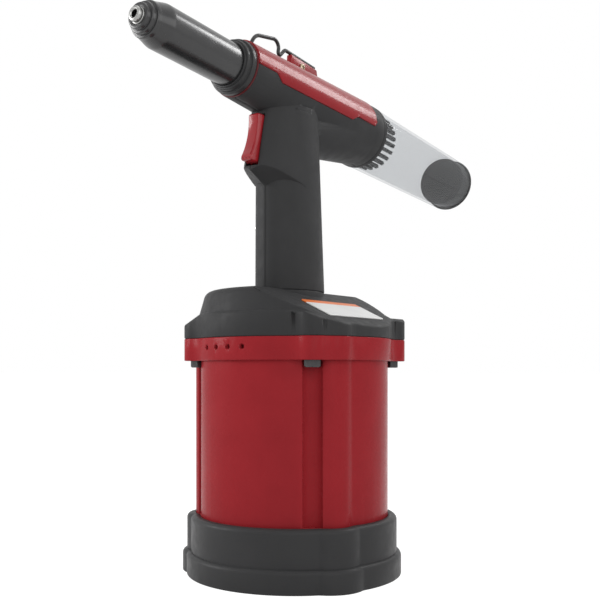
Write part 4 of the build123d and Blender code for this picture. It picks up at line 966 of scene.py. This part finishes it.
@dataclass
class HeadCover:
    """Red cover over the head: a flat facet along each side, and the boss that holds the hanger."""

    front_s: float = 50.4
    rear_s: float = -58.6
    front_r: float = 14.8
    rear_r: float = 19.3
    casing_rear_s: float = -67.3
    proud: float = 0.5
    wall: float = 1.9
    edge: tuple[Point2, ...] = ((50.4, 0.2), (36.0, 0.2), (31.0, -3.5), (-33.5, -3.3), (-38.8, -0.2),
                                (-56.5, -0.4), (-58.6, 2.3))
    edge_round: float = 0.55
    facet: tuple[float, float] = (9.0, 20.0)
    facet_blend: float = 0.5
    row_points: int = 20
    crest_steps: int = 12
    boss: tuple[Point2, ...] = ((6.5, 14.5), (6.5, 24.0), (-18.5, 23.6), (-21.0, 15.5))
    boss_half: float = 1.7
    boss_round: float = 0.7

    def build(self) -> None:
        """Make the shell and the boss as one piece."""
        shape = Shape()
        rings = [shape.ring(self.row(s)) for s in self.stations()]
        for one, two in zip(rings, rings[1:]):
            shape.skin(one, two, closed=False)
        shell = add_object("blank", shape.mesh("shell"))
        shell.data.shade_smooth()
        self.face_out(shell.data)
        depth = shell.modifiers.new("wall", "SOLIDIFY")
        depth.thickness = self.wall * MM
        depth.offset = -1.0
        mesh = bevelled(evaluated(shell), self.edge_round, 3, 45.0)
        bpy.data.objects.remove(shell)
        joined = Shape()
        joined.bm.from_mesh(mesh)
        joined.bm.from_mesh(self.boss_block())
        cover = bpy.data.meshes.new("cover")
        joined.bm.to_mesh(cover)
        joined.bm.free()
        smooth(cover, 40.0)
        set_down("head_cover", cover, RED_PLASTIC, Body.FRAME, Slot.RED_PLASTIC, "top_cover")

    def casing_r(self, s: float) -> float:
        """Radius of the cover's outside at a place along the head."""
        share = (self.front_s - s) / (self.front_s - self.casing_rear_s)
        return self.front_r + (self.rear_r - self.front_r) * share + self.proud

    def stations(self) -> list[float]:
        """Places along the head, close together at the corners of the lower edge.

        Returns:
            The places in order.
        """
        places = {s + d for s, _ in self.edge for d in (-0.8, -0.3, 0.0, 0.3, 0.8)}
        places |= {self.rear_s + (self.front_s - self.rear_s) * i / 40 for i in range(41)}
        return sorted(p for p in places if self.rear_s <= p <= self.front_s)

    def low_edge(self, s: float) -> float:
        """Height of the lower edge above the head's axis.

        Args:
            s: place along the head.

        Returns:
            The height in millimetres.
        """
        for (s1, h1), (s2, h2) in zip(self.edge, self.edge[1:]):
            if s2 <= s <= s1:
                return h1 + (h2 - h1) * (s1 - s) / (s1 - s2)
        return self.edge[-1][1]

    def row(self, s: float) -> list[Vector]:
        """Points over the head from one lower edge to the other.

        Args:
            s: place along the head.

        Returns:
            The points in metres.
        """
        radius = self.casing_r(s)
        low = math.degrees(math.asin(self.low_edge(s) / radius))
        start, end = self.facet
        soft = self.facet_blend
        marks = [0.0, 4.0, start - soft, start + soft, (start + end) / 2, end - soft, end + soft]
        marks = [a for a in marks if a > low + 0.6]
        crest = [end + soft + (90.0 - soft - end) * i / self.crest_steps
                 for i in range(1, self.crest_steps + 1)]
        marks = [low, *marks, *crest]
        while len(marks) < self.row_points:
            marks.insert(1, marks[0] + (marks[1] - marks[0]) * 0.5)
        turns = marks + [180.0 - a for a in reversed(marks[:-1])]
        return [self.point(s, radius, a) for a in turns]

    def point(self, s: float, radius: float, angle: float) -> Vector:
        """Point of the outside, with the facet taken off.

        Args:
            s: place along the head.
            radius: radius of the outside there.
            angle: angle above the horizontal, in degrees.

        Returns:
            The point in metres.
        """
        side = angle if angle <= 90.0 else 180.0 - angle
        start, end = self.facet
        if start < side < end:
            half = math.radians((end - start) / 2)
            radius *= math.cos(half) / math.cos(math.radians(side - (start + end) / 2))
        return HEAD.at(s, *polar(radius, math.radians(angle)))

    def face_out(self, mesh: Mesh) -> None:
        """Turn the shell's faces away from the head's axis.

        Args:
            mesh: the shell.
        """
        middle = mesh.polygons[len(mesh.polygons) // 2]
        if middle.normal.dot(middle.center - HEAD.at(0.0)) < 0:
            mesh.flip_normals()

    def boss_block(self) -> Mesh:
        """The hanger's boss, with rounded edges.

        Returns:
            Its mesh.
        """
        shape = Shape()
        shape.stack([[HEAD.at(s, y, h) for s, h in self.boss] for y in (-self.boss_half, self.boss_half)])
        return bevelled(shape.mesh("boss"), self.boss_round, 4)


@dataclass
class Hanger:
    """Wire hanger: a tail along the boss, a hump, a dip and a loop down to the front of the cover."""

    radius: float = 1.0
    dome: tuple[float, float] = (0.6, 0.9)
    corners: Section = (
        (-17.5, 24.47, 0.0), (10.6, 24.92, 3.0), (17.0, 17.78, 1.25), (15.4, 28.54, 3.9), (36.5, 23.53, 9.0),
        (41.0, 15.66, 0.0))
    sides: int = 20

    def build(self) -> None:
        """Sweep the wire along its path and close its ends with domes."""
        path = rounded(self.corners, closed=False, steps=14)
        rows = []
        for i, (s, h) in enumerate(path):
            before = Vector(path[max(i - 1, 0)])
            after = Vector(path[min(i + 1, len(path) - 1)])
            run = (after - before).normalized()
            if i == 0:
                rows += [self.loop(Vector((s, h)), run, -c) for c in reversed(self.dome)]
            rows.append(self.loop(Vector((s, h)), run, 0.0))
            if i == len(path) - 1:
                rows += [self.loop(Vector((s, h)), run, c) for c in self.dome]
        shape = Shape()
        shape.stack(rows)
        mesh = shape.mesh("hanger_loop_wire")
        smooth(mesh, 50.0)
        set_down("hanger_loop_wire", mesh, BLACK_WIRE, Body.FRAME, Slot.BLACK_STEEL, "hanger_wire")

    def loop(self, middle: Vector, run: Vector, end: float) -> list[Vector]:
        """One turn of points round the wire.

        Args:
            middle: place on the path.
            run: direction of the path there.
            end: 0 on the path, or the share of the radius that a dome's row stands beyond an end.

        Returns:
            The points in metres.
        """
        reach = self.radius * math.sqrt(1.0 - end * end)
        middle = middle + run * (self.radius * end * 0.5)
        side = Vector((-run.y, run.x))
        made = []
        for turn in turns_of(self.sides):
            across, up = polar(reach, turn)
            flat = middle + side * up
            made.append(HEAD.at(flat.x, across, flat.y))
        return made


@dataclass
class Collector:
    """Clear tube for spent mandrels and its ribbed adapter."""

    front_s: float = -71.1
    end_s: float = -193.5
    front_r: float = 19.0
    rear_r: float = 18.1
    wall: float = 1.5
    flange: Section = (
        (-67.3, 9.1, 0.2), (-67.3, 19.3, 0.3), (-70.7, 19.3, 0.6), (-70.7, 16.4, 0.2), (-73.1, 16.4, 0.4),
        (-73.1, 14.8, 0.3), (-70.7, 14.8, 0.2), (-70.7, 9.1, 0.2))
    fingers: int = 24
    finger_s: float = -77.95
    finger_r: float = 15.85
    finger_h: float = 2.1
    finger_w: float = 2.2
    finger_l: float = 14.5
    finger_round: float = 0.3

    def build(self) -> None:
        """Make the tube and the adapter."""
        corners = ((self.front_s, self.front_r - self.wall, 0.2), (self.front_s, self.front_r, 0.4),
                   (self.end_s, self.rear_r, 0.4), (self.end_s, self.rear_r - self.wall, 0.2))
        turn_piece("clear_tube", CLEAR, Slot.CLEAR_PLASTIC, "collector_tube", corners, Body.COLLECTOR, 5, 160)
        self.adapter()

    def adapter(self) -> None:
        """The adapter's flange and ring, with a row of fingers inside the tube's mouth."""
        shape = Shape()
        shape.lathe(HEAD, rounded(self.flange))
        ribs = RibRing().run(bpy.data.meshes.new("spots"), Count=self.fingers, Radius=self.finger_r * MM,
                             Height=self.finger_h * MM, Width=self.finger_w * MM, Length=self.finger_l * MM,
                             Material=BLACK_PLASTIC.material())
        ribs.transform(HEAD.frame(self.finger_s))
        shape.bm.from_mesh(bevelled(ribs, self.finger_round, 2))
        mesh = shape.mesh("ribbed_adapter")
        smooth(mesh)
        set_down("ribbed_adapter", mesh, BLACK_PLASTIC, Body.FRAME, Slot.BLACK_PLASTIC, "collector_adapter")


@dataclass
class AirInlet:
    """Threaded inlet at the back of the housing, with its swivel."""

    hex_r: float = 9.5
    hex_l: float = 9.0
    thread_r: float = 6.6
    bore_r: float = 3.5
    neck_r: float = 5.0
    chamfer: float = 0.7
    thread_end: float = -12.0
    neck_end: float = 19.0
    swivel_r: float = 8.6
    socket_r: float = 5.1
    socket_l: float = 10.2
    port_r: float = 5.3
    port_l: float = 12.0
    passage_r: float = 3.6
    thread_count: int = 10
    knurl_count: int = 44
    knurl_h: float = 0.7
    knurl_w: float = 0.6
    sides: int = 96

    def build(self) -> None:
        """Make the fitting and the swivel."""
        flat = self.hex_r * math.cos(math.pi / 6)
        shape = Shape()
        shape.stack([INLET.hexagon(s, flat, most, self.sides) for s, most in (
            (self.thread_end, self.bore_r), (self.thread_end, self.thread_r), (0.0, self.thread_r),
            (0.0, flat * 0.99), (self.chamfer, self.hex_r), (self.hex_l - self.chamfer, self.hex_r),
            (self.hex_l, flat * 0.99), (self.hex_l, self.neck_r), (self.neck_end, self.neck_r),
            (self.neck_end, self.bore_r))], closed=True)
        fitting = shape.mesh("inlet_hexagon")
        smooth(fitting)
        set_down("inlet_hexagon", fitting, STEEL, Body.FRAME, Slot.STEEL, "air_inlet_fitting")
        self.swivel()

    def swivel(self) -> None:
        """The swivel, with a knurled band and a threaded port."""
        lo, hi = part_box("inlet_swivel")
        start = -hi.x / MM + INLET.start[0]
        end = -lo.x / MM + INLET.start[0]
        r = self.swivel_r
        socket_end = start + self.socket_l
        port_end = end - self.port_l
        threads = []
        for i in range(self.thread_count):
            s = port_end + 1.0 + i
            threads += [(s, self.port_r, 0.0), (s + 0.5, self.port_r + 0.4, 0.0)]
        corners = [(start, self.socket_r, 0.0), (start, r - 0.6, 0.4), (start + 3.0, r - 0.6, 0.3),
                   (start + 3.6, r - 0.3, 0.2), (end - 5.0, r - 0.3, 0.2), (end - 4.6, r - 1.0, 0.2),
                   (end - 3.4, r - 1.0, 0.2), (end - 3.0, r, 0.2), (end, r, 0.8), (end, 5.9, 0.3)]
        corners += [*reversed(threads), (port_end, self.port_r, 0.0), (port_end, self.passage_r, 0.0),
                    (socket_end, self.passage_r, 0.0), (socket_end, self.socket_r, 0.0)]
        shape = Shape()
        shape.lathe(INLET, rounded(corners, steps=3), 80)
        length = end - start - 9.6
        knurl = RibRing().run(bpy.data.meshes.new("spots"), Count=self.knurl_count, Radius=(r - 0.35) * MM,
                              Height=self.knurl_h * MM, Width=self.knurl_w * MM, Length=length * MM,
                              Material=STEEL.material())
        knurl.transform(INLET.frame(start + 4.2 + length / 2))
        shape.bm.from_mesh(knurl)
        mesh = shape.mesh("inlet_knurled_swivel")
        smooth(mesh)
        set_down("inlet_knurled_swivel", mesh, STEEL, Body.INLET_SWIVEL, Slot.STEEL, "inlet_swivel")


@dataclass
class Stage:
    """Pale floor, soft light and the camera at the photograph's place."""

    camera_at: Point3 = (0.4060, 0.2918, 0.110)
    lens: float = 54.0
    lift: float = 0.12
    aim_shift: float = 6.0 / 600.0
    world_light: float = 0.42
    floor_half: float = 40.0
    floor_shine: float = 0.83
    floor_seen: Colour = (0.4, 0.4, 0.4)
    floor_unseen: Colour = (0.7, 0.7, 0.7)
    lamp_aim: Point3 = (0.0, 0.0, 0.15)
    lamps: tuple[tuple[str, Point3, float, float], ...] = (
        ("rear_key", (-0.76, 0.34, 0.86), 0.30, 3.0), ("fill", (0.70, 0.75, 0.55), 0.9, 4.4),
        ("right", (-0.30, 1.05, 0.50), 0.6, 1.8), ("left", (0.60, -0.95, 0.45), 0.5, 8.0),
        ("top", (0.05, 0.0, 1.2), 0.7, 1.8))

    def build(self) -> None:
        """Make the camera, the lights, the world and the floor."""
        self.camera()
        self.world()
        self.floor()
        for lamp in self.lamps:
            self.lamp(*lamp)

    def camera(self) -> None:
        """Set the camera level, with the frame shifted up as in the photograph."""
        data = bpy.data.cameras.new("camera")
        data.sensor_width = 36.0
        data.lens = self.lens
        data.shift_y = self.lift
        data.shift_x = self.aim_shift
        seen = add_object("camera", data)
        place = Vector(self.camera_at)
        seen.location = place
        seen.rotation_euler = Vector((-place.x, -place.y, 0.0)).to_track_quat("-Z", "Y").to_euler()
        bpy.context.scene.camera = seen

    def world(self) -> None:
        """Light the scene evenly, and show white behind it."""
        world = bpy.data.worlds.new("studio")
        bpy.context.scene.world = world
        world.use_nodes = True
        tree = NodeTree(world.node_tree)
        output = tree.node("ShaderNodeOutputWorld")
        mix = tree.node("ShaderNodeMixShader")
        tree.link(self.seen_directly(tree), mix.inputs[0])
        for socket, strength in ((mix.inputs[1], self.world_light), (mix.inputs[2], 1.0)):
            light = tree.node("ShaderNodeBackground", {"Color": (1.0, 1.0, 1.0, 1.0), "Strength": strength})
            tree.link(light.outputs[0], socket)
        tree.link(mix.outputs[0], output.inputs["Surface"])

    def seen_directly(self, tree: NodeTree) -> Socket:
        """1 where a ray comes from the camera, a shiny face or glass.

        Args:
            tree: the tree to add the nodes to.

        Returns:
            The share as a socket.
        """
        path = tree.node("ShaderNodeLightPath")
        share = path.outputs["Is Camera Ray"]
        for kind in ("Is Glossy Ray", "Is Transmission Ray"):
            larger = tree.node("ShaderNodeMath", operation="MAXIMUM")
            tree.link(share, larger.inputs[0])
            tree.link(path.outputs[kind], larger.inputs[1])
            share = larger.outputs[0]
        return share

    def floor(self) -> None:
        """A wide pale floor that keeps a soft shadow."""
        mesh = bpy.data.meshes.new("floor")
        half = self.floor_half
        mesh.from_pydata([(x * half, y * half, 0) for x, y in SQUARE], [], [(0, 1, 2, 3)])
        floor = add_object("floor", mesh)
        shader = Shader("pale_floor")
        seen = self.seen_directly(shader)
        shader.set(Roughness=0.9, Emission_Color=(1.0, 1.0, 1.0, 1.0))
        shader.feed(shader.blend(seen, self.floor_unseen, self.floor_seen), "Base Color")
        scale = shader.node("ShaderNodeMath", {1: self.floor_shine}, operation="MULTIPLY")
        shader.link(seen, scale.inputs[0])
        shader.feed(scale.outputs[0], "Emission Strength")
        mesh.materials.append(shader.material)

    def lamp(self, name: str, place: Point3, size: float, power: float) -> None:
        """A square soft lamp aimed at the tool.

        Args:
            name: its name.
            place: where it stands.
            size: its side in metres.
            power: its power in watts.
        """
        data = bpy.data.lights.new(name, "AREA")
        data.size = size
        data.energy = power
        made = add_object(name, data)
        made.location = place
        aim = Vector(self.lamp_aim) - Vector(place)
        made.rotation_euler = aim.to_track_quat("-Z", "Y").to_euler()
        made.visible_camera = False
        made.visible_transmission = False


def main() -> None:
    """Load the frame, build and dress every piece, and set the stage."""
    logging.basicConfig(level=logging.INFO, format="%(name)s: %(message)s")
    scene = bpy.context.scene
    for old in list(scene.objects):
        bpy.data.objects.remove(old)
    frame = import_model()
    scene.view_settings.view_transform = "Standard"
    solids = frame["nodes"]
    for finish, nodes in NODE_FINISHES.items():
        for node in nodes:
            dress(solids[node], finish)
    for piece in SOFT_EDGED:
        piece.build(solids)
    Nose().build()
    HeadCover().build()
    Hanger().build()
    Collector().build()
    AirInlet().build()
    Fasteners().build()
    Stage().build()


if __name__ == "__main__":
    main()
